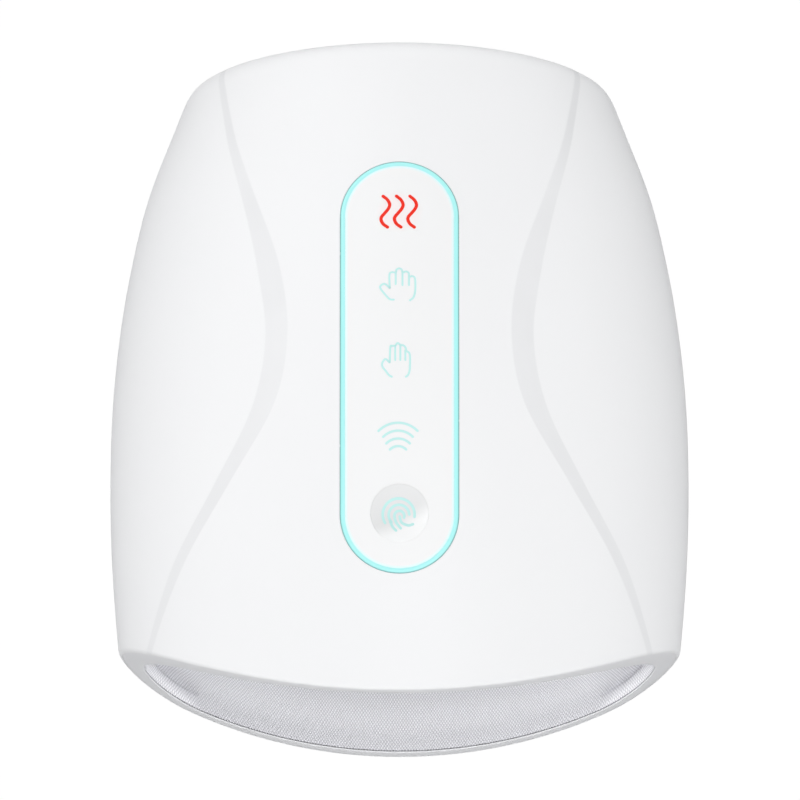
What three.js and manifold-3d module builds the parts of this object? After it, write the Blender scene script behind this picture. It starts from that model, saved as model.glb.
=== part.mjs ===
// Hand massager: a domed, rounded housing with an open mouth at the front for a hand.
// A light-up control panel lies on the dome. A fabric sleeve lines the hand space, with
// an air bag above it and another below it. The air pump, valves, battery and main
// board fill the space behind the sleeve.
//
// Millimetres. +Z is up, the mouth faces -Y and the charging socket faces +Y. The origin
// is on the table, midway between the ends and between the sides.
//
// The outer form is a row of arches along Y. Each arch is a curved roof over a flat sole
// with quarter-round corners. Roof and sole meet at the widest line, where the upper and
// lower shells part.
import * as THREE from 'three';
import { mergeVertices } from 'three/addons/utils/BufferGeometryUtils.js';
import Module from 'manifold-3d';

const wasm = await Module();
wasm.setup();

// Body
const handDepth = 150;
const rearDepth = 61;
const bodyLength = handDepth + rearDepth;
const crownRoom = 28.6;
const footHeight = 3.2;
const seamHeight = 25;
const frontRadius = 150;
const backRound = 18.2;
const archPower = 1.6;
const backPlanPower = 6.2;
const backCrownPower = 2.3;
// Each row of these tables is [place along the body, value], the place as a share of
// bodyLength from the front. Half widths are shares of half of bodyWidth, and rises are
// shares of the greatest rise of the roof above the widest line.
const halfWidthShares = [
  [0, 0.935], [0.12, 0.968], [0.335, 1], [0.55, 0.984], [0.7, 0.934], [0.815, 0.87],
  [0.91, 0.787], [1, 0.706],
];
const riseShares = [
  [0, 0.766], [0.215, 0.915], [0.43, 0.992], [0.5, 1], [0.62, 0.983], [0.785, 0.904],
  [0.9, 0.804], [1, 0.711],
];
// The two edges of the sloping facet that parts the raised centre of the dome from each
// side, as shares of the half width there. The facet drops facetSlope of its width.
const facetOuterShares = [
  [0, 0.99], [0.12, 0.885], [0.21, 0.79], [0.31, 0.64], [0.42, 0.502], [0.51, 0.465],
  [0.62, 0.505], [0.74, 0.594], [0.86, 0.722], [1, 0.9],
];
const facetInnerShares = [
  [0, 0.97], [0.12, 0.86], [0.21, 0.747], [0.31, 0.583], [0.42, 0.424], [0.51, 0.388],
  [0.62, 0.427], [0.74, 0.545], [0.86, 0.69], [1, 0.875],
];
const facetSlope = 0.2;

// Shells
const shellWall = 2.6;
const fitGap = 0.3;
const rimLip = 1;

// Mouth and its bezel
const rimTop = 4;
const rimSide = 4.8;
const rimBottom = 5.4;
const mouthWidestRise = 2;
const bezelLip = 1.5;
const bezelDepth = 6;

// Hand space inside the sleeve: it narrows from the mouth to the hand height
const handStep = 13.9;
const handHeight = 31.5;
const handWidestRise = 13.5;
const handArchPower = 2.4;
const handBackRound = 14;
const handBackPower = 2.6;
const handHalfShares = [
  [0, 1], [0.05, 1], [0.15, 0.972], [0.27, 0.93], [0.42, 0.9], [0.6, 0.875], [0.8, 0.83], [1, 0.75],
];
const throatShares = [[0, 0], [0.04, 0], [0.15, 0.45], [0.27, 0.83], [0.4, 1], [1, 1]];
const linerWall = 1.2;

// Inner frames round the sleeve
const frameWall = 2;
const frameStart = 14;
const frameSideRoom = 1;
const frameTopRoom = 8.4;
const frameBottomRoom = 11.6;

// Pads under and over the hand
const padSideRoom = 4;
const padFrontRoom = 43.5;
const padBackRoom = 8.5;
const padCorner = 14;
const upperBagExtra = 4;
const upperBagSkirt = 14;
const heatingPadThickness = 0.8;
const palmPadThickness = 5.7;
const nippleRadius = 1.8;
const upperNippleX = 30;
const upperNippleRoom = 24.5;
const upperNippleRise = 2.4;
const lowerNippleRoom = 6.9;
const lowerNippleReach = 1.6;

// Control panel, with a light ring round it
const panelOverhang = 13.1;
const panelWidth = 35.8;
const panelSetback = 33.9;
const ringWidth = 1.6;
const panelThickness = 2.6;
const ledgeThickness = 1.5;
const ledgeOverlap = 1.4;
const ledgeOutside = 3;

// Power button, set in the panel's front round
const buttonRadius = 8.7;
const buttonFlange = 1.1;
const dishRadius = 8.4;
const dishDepth = 1.1;
const buttonTravel = 0.4;

// Touch board, light box and power switch
const boardThickness = 1.6;
const touchBoardRoom = 15.6;
const touchBoardWidth = 46;
const touchBoardEndRoom = 2;
const touchBoardCorner = 2.6;
const iconEndRoom = 1.8;
const iconWellRadius = 7.5;
const iconCount = 4;
const switchSize = 6;
const switchHeight = 3.2;
const plungerRadius = 1.6;
const plungerDepth = 2.4;
const plungerShow = 1.2;
const touchScrewEdge = 4;
const touchScrewInset = 9;
const touchBossRadius = 2.6;

// Screws: thread radius, head radius, head height
const smallThread = 0.9;
const smallHead = 2.2;
const smallHeadHeight = 1.4;
const smallLength = 7;
const slotLengthShare = 0.7;
const slotWidthShare = 0.33;
const baseThread = 1.4;
const baseHead = 2.7;
const baseHeadHeight = 1.7;
const baseLength = 10;
const counterboreDepth = 2.4;
const towerRadius = 4.6;
const towerHeight = 4.2;
const bossRadius = 3.4;
const trayBossHeight = 7;
const traySpotRoom = 11;
const traySideRoom = 20.48;
const traySpotFrontRoom = 49.5;
const traySpotBackRoom = 32.5;
const rearSpotRoom = 8;
const rearSpotInset = 25.5;

// Feet
const footRadius = 7;
const footSeat = 1.1;
const footFrontSideInset = 38;
const footFrontInset = 31.5;
const footBackSideInset = 50;
const footBackInset = 17.5;

// Rear frame: an upright wall behind the sleeve, with a shelf
const rearWallRoom = 1.7;
const rearWallThickness = 2;
const rearWallRise = 28;
const rearSideRoom = 1.6;
const shelfSideRoom = 1;
const shelfRoom = 1.9;
const shelfThickness = 2;
const shelfBackInset = 11.5;
const gussetLength = 12;

// Battery: two round cells side by side in a cradle
const cellRadius = 9.2;
const cellLength = 65;
const cellPitch = 19.7;
const cradleHeight = 7;
const cradleWall = 1.6;
const cellTerminalRadius = 3;
const cellTerminalHeight = 1;

// Main board and charging socket
const mainBoardRoom = 6.6;
const mainBoardSideRoom = 7.9;
const mainBoardFrontRoom = 3.6;
const mainBoardBackInset = 8.5;
const boardPostRadius = 2.7;
const boardPostInset = 3.6;
const socketWidth = 8.9;
const socketHeight = 3.2;
const socketWall = 0.3;
const socketLength = 7.6;
const socketSink = 1.2;
const tongueWidth = 6.2;
const tongueThickness = 0.7;
const tongueLength = 5;

// Air pump, lying across the shelf
const pumpSetback = 22.6;
const motorRadius = 12;
const motorLength = 30;
const motorLeft = -30;
const saddleWall = 1.7;
const saddleHeight = 8;
const saddleLength = 22;
const headSize = 22;
const headLength = 20;
const headCavity = 8.6;
const headCavityDepth = 13;
const shaftRadius = 1.2;
const shaftBore = 1.5;
const shaftDepth = 14;
const crankRadius = 7;
const crankThickness = 4;
const crankStart = 2.2;
const crankPinRadius = 1.4;
const crankPinOffset = 4.4;
const crankPinLength = 4;
const barbRadius = 1.8;
const barbLength = 3;
const hoseRadius = 2.3;

// Solenoid valves under an air manifold
const valveX = 31;
const valveSetback = 8.6;
const valvePitch = 14;
const valveSize = 12;
const valveHeight = 18;
const valveBore = 2.2;
const valveBoreDepth = 14;
const valvePlungerRadius = 1.8;
const valvePlungerLength = 12.4;
const manifoldHeight = 5.6;
const pumpBarbShare = 0.7;

// Vibration motor on the upper frame
const vibrationInset = 4;
const vibrationRoom = 52.5;
const vibrationRadius = 6.5;
const vibrationLength = 18;
const vibrationRise = 2.9;
const vibrationSaddleRoot = 6;
const vibrationSaddleLength = 13;
const weightRadius = 5.6;
const weightLength = 6;
const weightGap = 0.6;
const weightShaft = 0.9;
const weightShaftBore = 1.2;
const weightShaftDepth = 9;

// Counts and cutting room
const cutOverrun = 4;
const outerSteps = { length: 13, back: 5, side: 5, centre: 3, corner: 3 };
const innerSteps = { length: 8, back: 3, side: 3, centre: 2, corner: 3 };
const sleeveSteps = { length: 8, back: 3, roof: 12, corner: 3, flat: 4 };
const cornerSteps = 4;
const throatBias = 1.5;
const drumFacets = 72;
const roundFacets = 20;
const smallFacets = 10;
const hoseFacets = 8;
const hoseSteps = 10;

// Places worked out from the sizes above
const frontY = -bodyLength / 2;
const backY = bodyLength / 2;
const baseFloor = footHeight + shellWall;
const soleDrop = seamHeight - footHeight;
const mouthBottom = footHeight + rimBottom;
const mouthWidest = seamHeight + mouthWidestRise;
const handBottom = mouthBottom + handStep;
const handTop = handBottom + handHeight;
const handWidest = handBottom + handWidestRise;
const handBack = frontY + handDepth;
const frameTop = handTop + linerWall + frameTopRoom + frameWall;
const crownHeight = frameTop + crownRoom;
const roofRise = crownHeight - seamHeight;
const mouthTop = seamHeight + roofRise * riseShares[0][1] - rimTop;
const cradleHalf = cellLength / 2 + cellTerminalHeight + cradleWall;
const lowerNippleX = cradleHalf + lowerNippleRoom;
const padHalfWidth = lowerNippleX + padSideRoom;
const upperBagHalfWidth = padHalfWidth + upperBagExtra;
const mainBoardHalfWidth = cradleHalf + mainBoardSideRoom;
const shelfHalfWidth = mainBoardHalfWidth + shelfSideRoom;
const traySpotX = padHalfWidth + traySpotRoom;
const rearSpotX = shelfHalfWidth + rearSpotRoom;
const vibrationX = padHalfWidth - vibrationInset;
const mouthWidth = 2 * (traySpotX + traySideRoom);
const bodyWidth = (mouthWidth + 2 * rimSide) / halfWidthShares[0][1];
const panelHalf = panelWidth / 2;
const panelFrontY = frontY + panelSetback;
const panelBackY = handBack + panelOverhang;
const buttonY = panelFrontY + panelHalf;
const iconPitch = (panelBackY - panelHalf + iconEndRoom - buttonY) / iconCount;
const touchBoardTop = crownHeight - touchBoardRoom;
const buttonFoot = touchBoardTop + fitGap + switchHeight + plungerShow;
const rearWallY = handBack + linerWall + frameSideRoom + frameWall + rearWallRoom;
const rearWallBack = rearWallY + rearWallThickness;
const padFront = frontY + padFrontRoom;
const padBack = handBack - padBackRoom;
const touchScrewX = touchBoardWidth / 2 - touchScrewEdge;
const upperNippleY = handBack - upperNippleRoom;
const upperNippleTop = frameTop + upperNippleRise;
const lowerNippleEnd = rearWallBack + lowerNippleReach;
const towerTop = footHeight + towerHeight;
const cradleBottom = baseFloor + fitGap;
const cellZ = cradleBottom + cradleWall + fitGap + cellRadius;
const mainBoardTop = cellZ + cellRadius + mainBoardRoom + boardThickness;
const mainBoardFront = rearWallBack + mainBoardFrontRoom;
const mainBoardBack = backY - mainBoardBackInset;
const shelfTop = mainBoardTop + fitGap + socketHeight + shelfRoom + shelfThickness;
const shelfBack = backY - shelfBackInset;
const pumpY = rearWallBack + pumpSetback;
const valveFrontY = rearWallBack + valveSetback;
const vibrationY = handBack - vibrationRoom;
const vibrationHeight = frameTop + vibrationRise;

// Finishes
const finish = (colour, roughness, metalness) =>
  new THREE.MeshStandardMaterial({ color: colour, roughness, metalness });
const whiteShell = finish(0xf3f3f4, 0.42, 0);
const whiteBezel = finish(0xececee, 0.4, 0);
const panelWhite = finish(0xf5f5f6, 0.3, 0);
const ringCyan = finish(0xb2f3f2, 0.3, 0);
const sleeveFabric = finish(0xd9d9de, 0.9, 0);
const airbagSkin = finish(0x8f949b, 0.6, 0);
const heaterFilm = finish(0x3a332c, 0.5, 0);
const padFoam = finish(0xd8d4cb, 0.95, 0);
const framePlastic = finish(0xc9cbce, 0.5, 0);
const boardGreen = finish(0x2c6b44, 0.45, 0);
const boardWhite = finish(0xe6e8e6, 0.4, 0);
const switchBlack = finish(0x222326, 0.4, 0);
const cellBlue = finish(0x3c6aa8, 0.4, 0);
const steel = finish(0xa9adb3, 0.3, 1);
const rubberGrey = finish(0x8d9095, 0.85, 0);
const hoseClear = finish(0xd5dbe0, 0.35, 0);

const model = new THREE.Group();

// Solids from three.js geometry
function solid(geometry) {
  const bare = geometry.clone();
  bare.deleteAttribute('normal');
  bare.deleteAttribute('uv');
  const merged = mergeVertices(bare);
  return new wasm.Manifold(new wasm.Mesh({
    numProp: 3,
    vertProperties: new Float32Array(merged.attributes.position.array),
    triVerts: new Uint32Array(merged.index.array),
  }));
}

function addPart(name, body, material) {
  const made = body.getMesh();
  const geometry = new THREE.BufferGeometry();
  geometry.setAttribute('position', new THREE.BufferAttribute(made.vertProperties, made.numProp));
  geometry.setIndex(new THREE.BufferAttribute(made.triVerts, 1));
  geometry.computeVertexNormals();
  const mesh = new THREE.Mesh(geometry, material);
  mesh.name = name;
  model.add(mesh);
  return mesh;
}

// A box from its low corner to its high corner
function block(low, high) {
  const size = low.map((value, axis) => high[axis] - value);
  const middle = low.map((value, axis) => (value + high[axis]) / 2);
  return solid(new THREE.BoxGeometry(...size).translate(...middle));
}

// A round bar along one axis, from `from` to `to`. `at` holds its two other coordinates.
function bar(axis, radius, at, from, to, facets = smallFacets) {
  const shape = new THREE.CylinderGeometry(radius, radius, to - from, facets);
  const middle = (from + to) / 2;
  if (axis === 'x') {
    shape.rotateZ(Math.PI / 2).translate(middle, at[0], at[1]);
  } else if (axis === 'y') {
    shape.translate(at[0], middle, at[1]);
  } else {
    shape.rotateX(Math.PI / 2).translate(at[0], at[1], middle);
  }
  return solid(shape);
}

// A flat outline in X and Y, raised from one height to another
function prism(outline, from, to, arcFacets = cornerSteps) {
  const shape = new THREE.ExtrudeGeometry(outline, {
    depth: to - from, bevelEnabled: false, curveSegments: arcFacets,
  });
  return solid(shape.translate(0, 0, from));
}

// A long outline with round ends, along Y
function pill(half, front, back) {
  const outline = new THREE.Shape();
  outline.absarc(0, front + half, half, Math.PI, 2 * Math.PI);
  outline.absarc(0, back - half, half, 0, Math.PI);
  outline.closePath();
  return outline;
}

// A rectangle with round corners
function roundedPlate(half, front, back, corner) {
  const outline = new THREE.Shape();
  outline.absarc(half - corner, front + corner, corner, -Math.PI / 2, 0);
  outline.absarc(half - corner, back - corner, corner, 0, Math.PI / 2);
  outline.absarc(corner - half, back - corner, corner, Math.PI / 2, Math.PI);
  outline.absarc(corner - half, front + corner, corner, Math.PI, 1.5 * Math.PI);
  outline.closePath();
  return outline;
}

// A closed solid through rings of points. Each end is closed to a middle point.
function loft(rings, startPoint, endPoint) {
  const count = rings[0].length;
  const points = rings.flat();
  const faces = [];
  for (let r = 0; r < rings.length - 1; r += 1) {
    for (let k = 0; k < count; k += 1) {
      const next = (k + 1) % count;
      const a = r * count + k;
      const b = r * count + next;
      faces.push(a, b + count, b, a, a + count, b + count);
    }
  }
  const start = points.push(startPoint) - 1;
  const end = points.push(endPoint) - 1;
  const last = (rings.length - 1) * count;
  for (let k = 0; k < count; k += 1) {
    const next = (k + 1) % count;
    faces.push(start, k, next, end, last + next, last + k);
  }
  const geometry = new THREE.BufferGeometry();
  geometry.setAttribute('position', new THREE.Float32BufferAttribute(points.flat(), 3));
  geometry.setIndex(faces);
  return solid(geometry);
}

// The value of a table at one place: a smooth curve through its rows
function along(table, place) {
  const last = table.length - 1;
  const clamped = Math.min(Math.max(place, table[0][0]), table[last][0]);
  const slope = (i) => (table[i + 1][1] - table[i][1]) / (table[i + 1][0] - table[i][0]);
  const tangent = (i) => {
    if (i === 0) return slope(0);
    if (i === last) return slope(last - 1);
    const before = table[i][0] - table[i - 1][0];
    const after = table[i + 1][0] - table[i][0];
    return (slope(i - 1) * after + slope(i) * before) / (before + after);
  };
  let i = 0;
  while (i < last - 1 && clamped > table[i + 1][0]) i += 1;
  const width = table[i + 1][0] - table[i][0];
  const t = (clamped - table[i][0]) / width;
  return (2 * t ** 3 - 3 * t ** 2 + 1) * table[i][1] + (t ** 3 - 2 * t ** 2 + t) * width * tangent(i)
    + (3 * t ** 2 - 2 * t ** 3) * table[i + 1][1] + (t ** 3 - t ** 2) * width * tangent(i + 1);
}

// The dome's arch at y, for the skin that lies `inset` inside the outer face
function bodyArch(y, inset) {
  const place = (y - frontY) / bodyLength;
  const t = Math.min(Math.max((y - (backY - backRound)) / (backRound - inset), 0), 1);
  const closing = 1 - t ** backPlanPower;
  const half = (bodyWidth / 2 * along(halfWidthShares, place) - inset) * closing ** (1 / backPlanPower);
  const rise = (roofRise * along(riseShares, place) - inset) * closing ** (1 / backCrownPower);
  const drop = (soleDrop - inset) * closing ** (1 / backPlanPower);
  const outer = half * along(facetOuterShares, place);
  const inner = half * along(facetInnerShares, place);
  return { half, rise, drop, outer, inner };
}

function roofHeight(arch, x) {
  const share = Math.min(Math.abs(x) / arch.half, 1);
  const plain = arch.rise * (1 - share ** 2) ** (1 / archPower);
  const onFacet = (arch.outer - Math.abs(x)) / (arch.outer - arch.inner);
  const lift = facetSlope * (arch.outer - arch.inner) * Math.min(Math.max(onFacet, 0), 1);
  return seamHeight + plain + lift;
}

// One ring of the body: over the roof from +X to -X, then back under the sole
function bodyRing(y, inset, steps) {
  const arch = bodyArch(y, inset);
  const start = Math.asin(arch.outer / arch.half);
  const halfRow = [];
  for (let k = 0; k <= steps.side; k += 1) {
    const angle = Math.PI / 2 + (start - Math.PI / 2) * (k / steps.side);
    halfRow.push(arch.half * Math.sin(angle));
  }
  for (let k = 0; k <= steps.centre; k += 1) halfRow.push(arch.inner * (1 - k / steps.centre));
  const row = [...halfRow, ...halfRow.slice(0, -1).reverse().map((x) => -x)];
  const ring = row.map((x) => [x, y, roofHeight(arch, x)]);
  const sole = soleCorners(arch.half, arch.drop, seamHeight, steps.corner);
  return ring.concat(sole.map(([x, z]) => [x, y, z]));
}

// The underside from -X to +X: a quarter-round corner, the flat sole, and the other corner
function soleCorners(half, drop, widest, steps, flatSteps = 1) {
  const corner = [];
  for (let k = 1; k <= steps; k += 1) {
    const angle = Math.PI / 2 * (k / steps);
    corner.push([half - drop + drop * Math.cos(angle), widest - drop * Math.sin(angle)]);
  }
  const left = corner.map(([x, z]) => [-x, z]);
  const flat = [];
  for (let k = 1; k < flatSteps; k += 1) {
    flat.push([(half - drop) * (2 * (k / flatSteps) - 1), widest - drop]);
  }
  return [...left, ...flat, ...corner.reverse()];
}

function bodySolid(inset, steps = outerSteps) {
  const rings = [];
  const straightEnd = backY - backRound;
  const start = frontY - cutOverrun;
  for (let k = 0; k < steps.length; k += 1) {
    rings.push(bodyRing(start + (straightEnd - start) * (k / steps.length), inset, steps));
  }
  for (let k = 0; k <= steps.back; k += 1) {
    const t = Math.sin(Math.PI / 2 * (k / (steps.back + 1)));
    rings.push(bodyRing(straightEnd + (backRound - inset) * t, inset, steps));
  }
  return loft(rings, [0, start, seamHeight], [0, backY - inset, seamHeight]);
}

// Everything behind a face that follows the curved front, `depth` behind it
function behindFront(depth) {
  const radius = frontRadius - depth;
  return bar('z', radius, [0, frontY + frontRadius], -cutOverrun, crownHeight + cutOverrun, drumFacets);
}

function sagAt(x) {
  return frontRadius - Math.sqrt(Math.max(frontRadius ** 2 - x ** 2, 0));
}

// A ring of the hand space, grown by `room` to the sides, above and below
function tunnelRing(depth, room, steps) {
  const place = depth / handDepth;
  const throat = along(throatShares, place);
  const t = Math.min(Math.max((depth - (handDepth - handBackRound)) / (handBackRound + room.back), 0), 1);
  const closing = (1 - t ** handBackPower) ** (1 / handBackPower);
  const widest = mouthWidest + (handWidest - mouthWidest) * throat;
  const deep = throat ** 2;
  const top = mouthTop + (handTop - mouthTop) * throat + room.mouth + (room.top - room.mouth) * deep;
  const bottom = mouthBottom + (handBottom - mouthBottom) * throat
    - room.mouth - (room.bottom - room.mouth) * deep;
  const sideRoom = room.mouth + (room.side - room.mouth) * throat;
  const half = (mouthWidth / 2 * along(handHalfShares, place) + sideRoom) * closing;
  const power = archPower + (handArchPower - archPower) * throat;
  const rise = (top - widest) * closing;
  const drop = (widest - bottom) * closing;
  const outline = [];
  for (let k = 0; k <= steps.roof; k += 1) {
    const x = half * Math.cos(Math.PI * (k / steps.roof));
    const share = Math.min(Math.abs(x) / half, 1);
    outline.push([x, widest + rise * (1 - share ** 2) ** (1 / power)]);
  }
  outline.push(...soleCorners(half, drop, widest, steps.corner, steps.flat));
  return outline.map(([x, z]) => [x, frontY + depth + sagAt(x) * (1 - throat), z]);
}

function tunnelSolid(room, steps = sleeveSteps) {
  const rings = [];
  const straight = handDepth - handBackRound;
  for (let k = 0; k < steps.length; k += 1) {
    const share = (k / steps.length) ** throatBias;
    rings.push(tunnelRing((straight + cutOverrun) * share - cutOverrun, room, steps));
  }
  for (let k = 0; k <= steps.back; k += 1) {
    const t = Math.sin(Math.PI / 2 * (k / (steps.back + 1)));
    rings.push(tunnelRing(straight + (handBackRound + room.back) * t, room, steps));
  }
  const back = frontY + handDepth + room.back;
  return loft(rings, [0, frontY - cutOverrun, mouthWidest], [0, back, handWidest]);
}

const evenRoom = (size) => ({ mouth: size, side: size, top: size, bottom: size, back: size });

// The straight mouth opening, grown by `room`
function mouthOpening(room) {
  const rings = [frontY - cutOverrun, frontY + sagAt(mouthWidth / 2) + bezelDepth + cutOverrun]
    .map((y) => tunnelRing(0, evenRoom(room), sleeveSteps).map(([x, , z]) => [x, y, z]));
  return loft(rings, [0, rings[0][0][1], mouthWidest], [0, rings[1][0][1], mouthWidest]);
}

const outerBody = bodySolid(0);
const innerBody = bodySolid(shellWall, innerSteps);
const wholeWidth = bodyWidth / 2 + cutOverrun;
const aboveSeam = block(
  [-wholeWidth, frontY - cutOverrun, seamHeight + fitGap / 2],
  [wholeWidth, backY + cutOverrun, crownHeight + cutOverrun],
);
const belowSeam = block(
  [-wholeWidth, frontY - cutOverrun, -cutOverrun],
  [wholeWidth, backY + cutOverrun, seamHeight - fitGap / 2],
);
const rimRebate = bodySolid(rimLip).subtract(behindFront(bezelDepth + fitGap));
const housing = outerBody.intersect(behindFront(0)).subtract(innerBody).subtract(rimRebate);

// A screw with its head down: thread from `seat` up, head below it
function screw(name, x, y, seat, thread, head, headHeight, length) {
  const shank = bar('z', thread, [x, y], seat - headHeight / 2, seat + length);
  const cap = bar('z', head, [x, y], seat - headHeight, seat);
  const slot = block(
    [x - head * slotLengthShare, y - thread * slotWidthShare, seat - headHeight - cutOverrun],
    [x + head * slotLengthShare, y + thread * slotWidthShare, seat - headHeight / 2],
  );
  addPart(name, shank.add(cap).subtract(slot), steel);
}

// Upper shell: the dome, with the panel's opening and ledge, board and screw bosses
const panelHeights = [seamHeight, crownHeight + cutOverrun];
function panelPrism(inset) {
  const outline = pill(panelHalf - inset, panelFrontY + inset, panelBackY - inset);
  return prism(outline, ...panelHeights, smallFacets);
}
const underPanel = bodySolid(panelThickness + fitGap);
const ledgeBottom = bodySolid(panelThickness + fitGap + ledgeThickness);
const ledge = bodySolid(shellWall / 2).subtract(ledgeBottom)
  .intersect(panelPrism(-ledgeOutside)).subtract(panelPrism(ringWidth + fitGap + ledgeOverlap));
const touchSpots = [-1, 1].flatMap((side) => [
  [side * touchScrewX, panelFrontY + touchScrewInset],
  [side * touchScrewX, panelBackY - touchScrewInset],
]);
const rearSpots = [-rearSpotX, rearSpotX].map((x) => [x, backY - rearSpotInset]);
const traySpots = [-1, 1].flatMap((side) => [
  [side * traySpotX, frontY + traySpotFrontRoom],
  [side * traySpotX, handBack - traySpotBackRoom],
]);
const midSkin = bodySolid(shellWall / 2);
let topShell = housing.intersect(aboveSeam).add(ledge);
touchSpots.forEach(([x, y]) => {
  const boss = bar('z', touchBossRadius, [x, y], touchBoardTop + fitGap, crownHeight);
  topShell = topShell.add(boss.intersect(midSkin));
});
rearSpots.forEach(([x, y]) => {
  const boss = bar('z', bossRadius, [x, y], towerTop + fitGap, crownHeight);
  topShell = topShell.add(boss.intersect(midSkin));
});
topShell = topShell.subtract(panelPrism(-fitGap).subtract(underPanel))
  .subtract(panelPrism(ringWidth + fitGap + ledgeOverlap));
touchSpots.forEach(([x, y]) => {
  const pilot = smallThread + fitGap;
  const top = touchBoardTop - boardThickness + smallLength + fitGap;
  topShell = topShell.subtract(bar('z', pilot, [x, y], touchBoardTop - cutOverrun, top));
});
rearSpots.forEach(([x, y]) => {
  const top = footHeight + counterboreDepth + baseLength + fitGap;
  topShell = topShell.subtract(bar('z', baseThread + fitGap, [x, y], 0, top));
});

// Charging socket at the back: a steel sleeve with a contact tongue, on the main board
const socketBottom = mainBoardTop + fitGap;
const socketMiddle = socketBottom + socketHeight / 2;
const socketBack = backY - socketSink;
function socketPrism(room, from, to) {
  const radius = socketHeight / 2 + room;
  const reach = socketWidth / 2 - socketHeight / 2;
  const outline = new THREE.Shape();
  outline.absarc(-reach, 0, radius, Math.PI / 2, 1.5 * Math.PI);
  outline.absarc(reach, 0, radius, -Math.PI / 2, Math.PI / 2);
  outline.closePath();
  const shape = new THREE.ExtrudeGeometry(outline, {
    depth: to - from, bevelEnabled: false, curveSegments: smallFacets / 2,
  });
  return solid(shape.rotateX(Math.PI / 2).translate(0, to, socketMiddle));
}
topShell = topShell.subtract(socketPrism(fitGap, mainBoardBack, backY + cutOverrun));
addPart('top_shell', topShell, whiteShell);

const socketFront = socketBack - socketLength;
const socketSleeve = socketPrism(0, socketFront, socketBack)
  .subtract(socketPrism(-socketWall, socketFront + socketWall, socketBack + cutOverrun));
addPart('usb_socket', socketSleeve, steel);
const tongueBack = socketFront + socketWall + fitGap + tongueLength;
addPart('usb_tongue', block(
  [-tongueWidth / 2, socketFront + socketWall + fitGap, socketMiddle - tongueThickness / 2],
  [tongueWidth / 2, tongueBack, socketMiddle + tongueThickness / 2],
), switchBlack);

// Lower shell: a shallow tub with screw towers, board posts and seats for the feet
const footFrontX = bodyWidth / 2 - footFrontSideInset;
const footBackX = bodyWidth / 2 - footBackSideInset;
const footSpots = [
  ['foot_front_left', -footFrontX, frontY + footFrontInset],
  ['foot_front_right', footFrontX, frontY + footFrontInset],
  ['foot_back_left', -footBackX, backY - footBackInset],
  ['foot_back_right', footBackX, backY - footBackInset],
];
const postX = mainBoardHalfWidth - boardPostInset;
const postSpots = [-1, 1].flatMap((side) => [
  [side * postX, mainBoardFront + boardPostInset],
  [side * postX, mainBoardBack - boardPostInset],
]);
const postTop = mainBoardTop - boardThickness - fitGap;
const screwSpots = [...traySpots, ...rearSpots];
let baseShell = housing.intersect(belowSeam);
screwSpots.forEach(([x, y]) => {
  baseShell = baseShell.add(bar('z', towerRadius, [x, y], footHeight, towerTop).intersect(midSkin));
});
postSpots.forEach(([x, y]) => {
  baseShell = baseShell.add(bar('z', boardPostRadius, [x, y], baseFloor - shellWall / 2, postTop));
});
screwSpots.forEach(([x, y]) => {
  const bore = bar('z', baseThread + fitGap, [x, y], 0, towerTop + cutOverrun);
  const counterbore = bar('z', baseHead + fitGap, [x, y], 0, footHeight + counterboreDepth);
  baseShell = baseShell.subtract(bore).subtract(counterbore);
});
footSpots.forEach(([, x, y]) => {
  const seat = bar('z', footRadius + fitGap, [x, y], 0, footHeight + footSeat, roundFacets);
  baseShell = baseShell.subtract(seat);
});
postSpots.forEach(([x, y]) => {
  const bottom = mainBoardTop - smallLength - fitGap;
  baseShell = baseShell.subtract(bar('z', smallThread + fitGap, [x, y], bottom, postTop + cutOverrun));
});
addPart('base_shell', baseShell, whiteShell);

footSpots.forEach(([name, x, y]) => {
  const top = footHeight + footSeat - fitGap;
  addPart(name, bar('z', footRadius, [x, y], 0, top, roundFacets), rubberGrey);
});
screwSpots.forEach(([x, y], index) => {
  const seat = footHeight + counterboreDepth - fitGap;
  screw(`base_screw_${index + 1}`, x, y, seat, baseThread, baseHead, baseHeadHeight, baseLength);
});

// Mouth bezel: a ring inside the shells' rim, whose lip covers the sleeve's front edge
const bezelOuter = bodySolid(rimLip + fitGap).intersect(behindFront(0));
const bezel = bezelOuter.subtract(behindFront(bezelDepth)).subtract(mouthOpening(0))
  .subtract(mouthOpening(linerWall + 2 * fitGap).intersect(behindFront(bezelLip)));
addPart('mouth_bezel', bezel, whiteBezel);

// Fabric sleeve round the hand space, closed at the back
const sleeve = tunnelSolid(evenRoom(linerWall)).subtract(tunnelSolid(evenRoom(0)))
  .intersect(behindFront(bezelLip + fitGap));
addPart('liner', sleeve, sleeveFabric);

// Inner frames: an upper and a lower half round the sleeve and its pads
const frameRoom = (extra) => ({
  mouth: linerWall + fitGap + extra,
  side: linerWall + frameSideRoom + extra,
  top: linerWall + frameTopRoom + extra,
  bottom: linerWall + frameBottomRoom + extra,
  back: linerWall + frameSideRoom + extra,
});
const frameInside = tunnelSolid(frameRoom(0));
const frames = tunnelSolid(frameRoom(frameWall)).subtract(frameInside).intersect(behindFront(frameStart));
const sleeveOutside = tunnelSolid(evenRoom(linerWall + fitGap));

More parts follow.
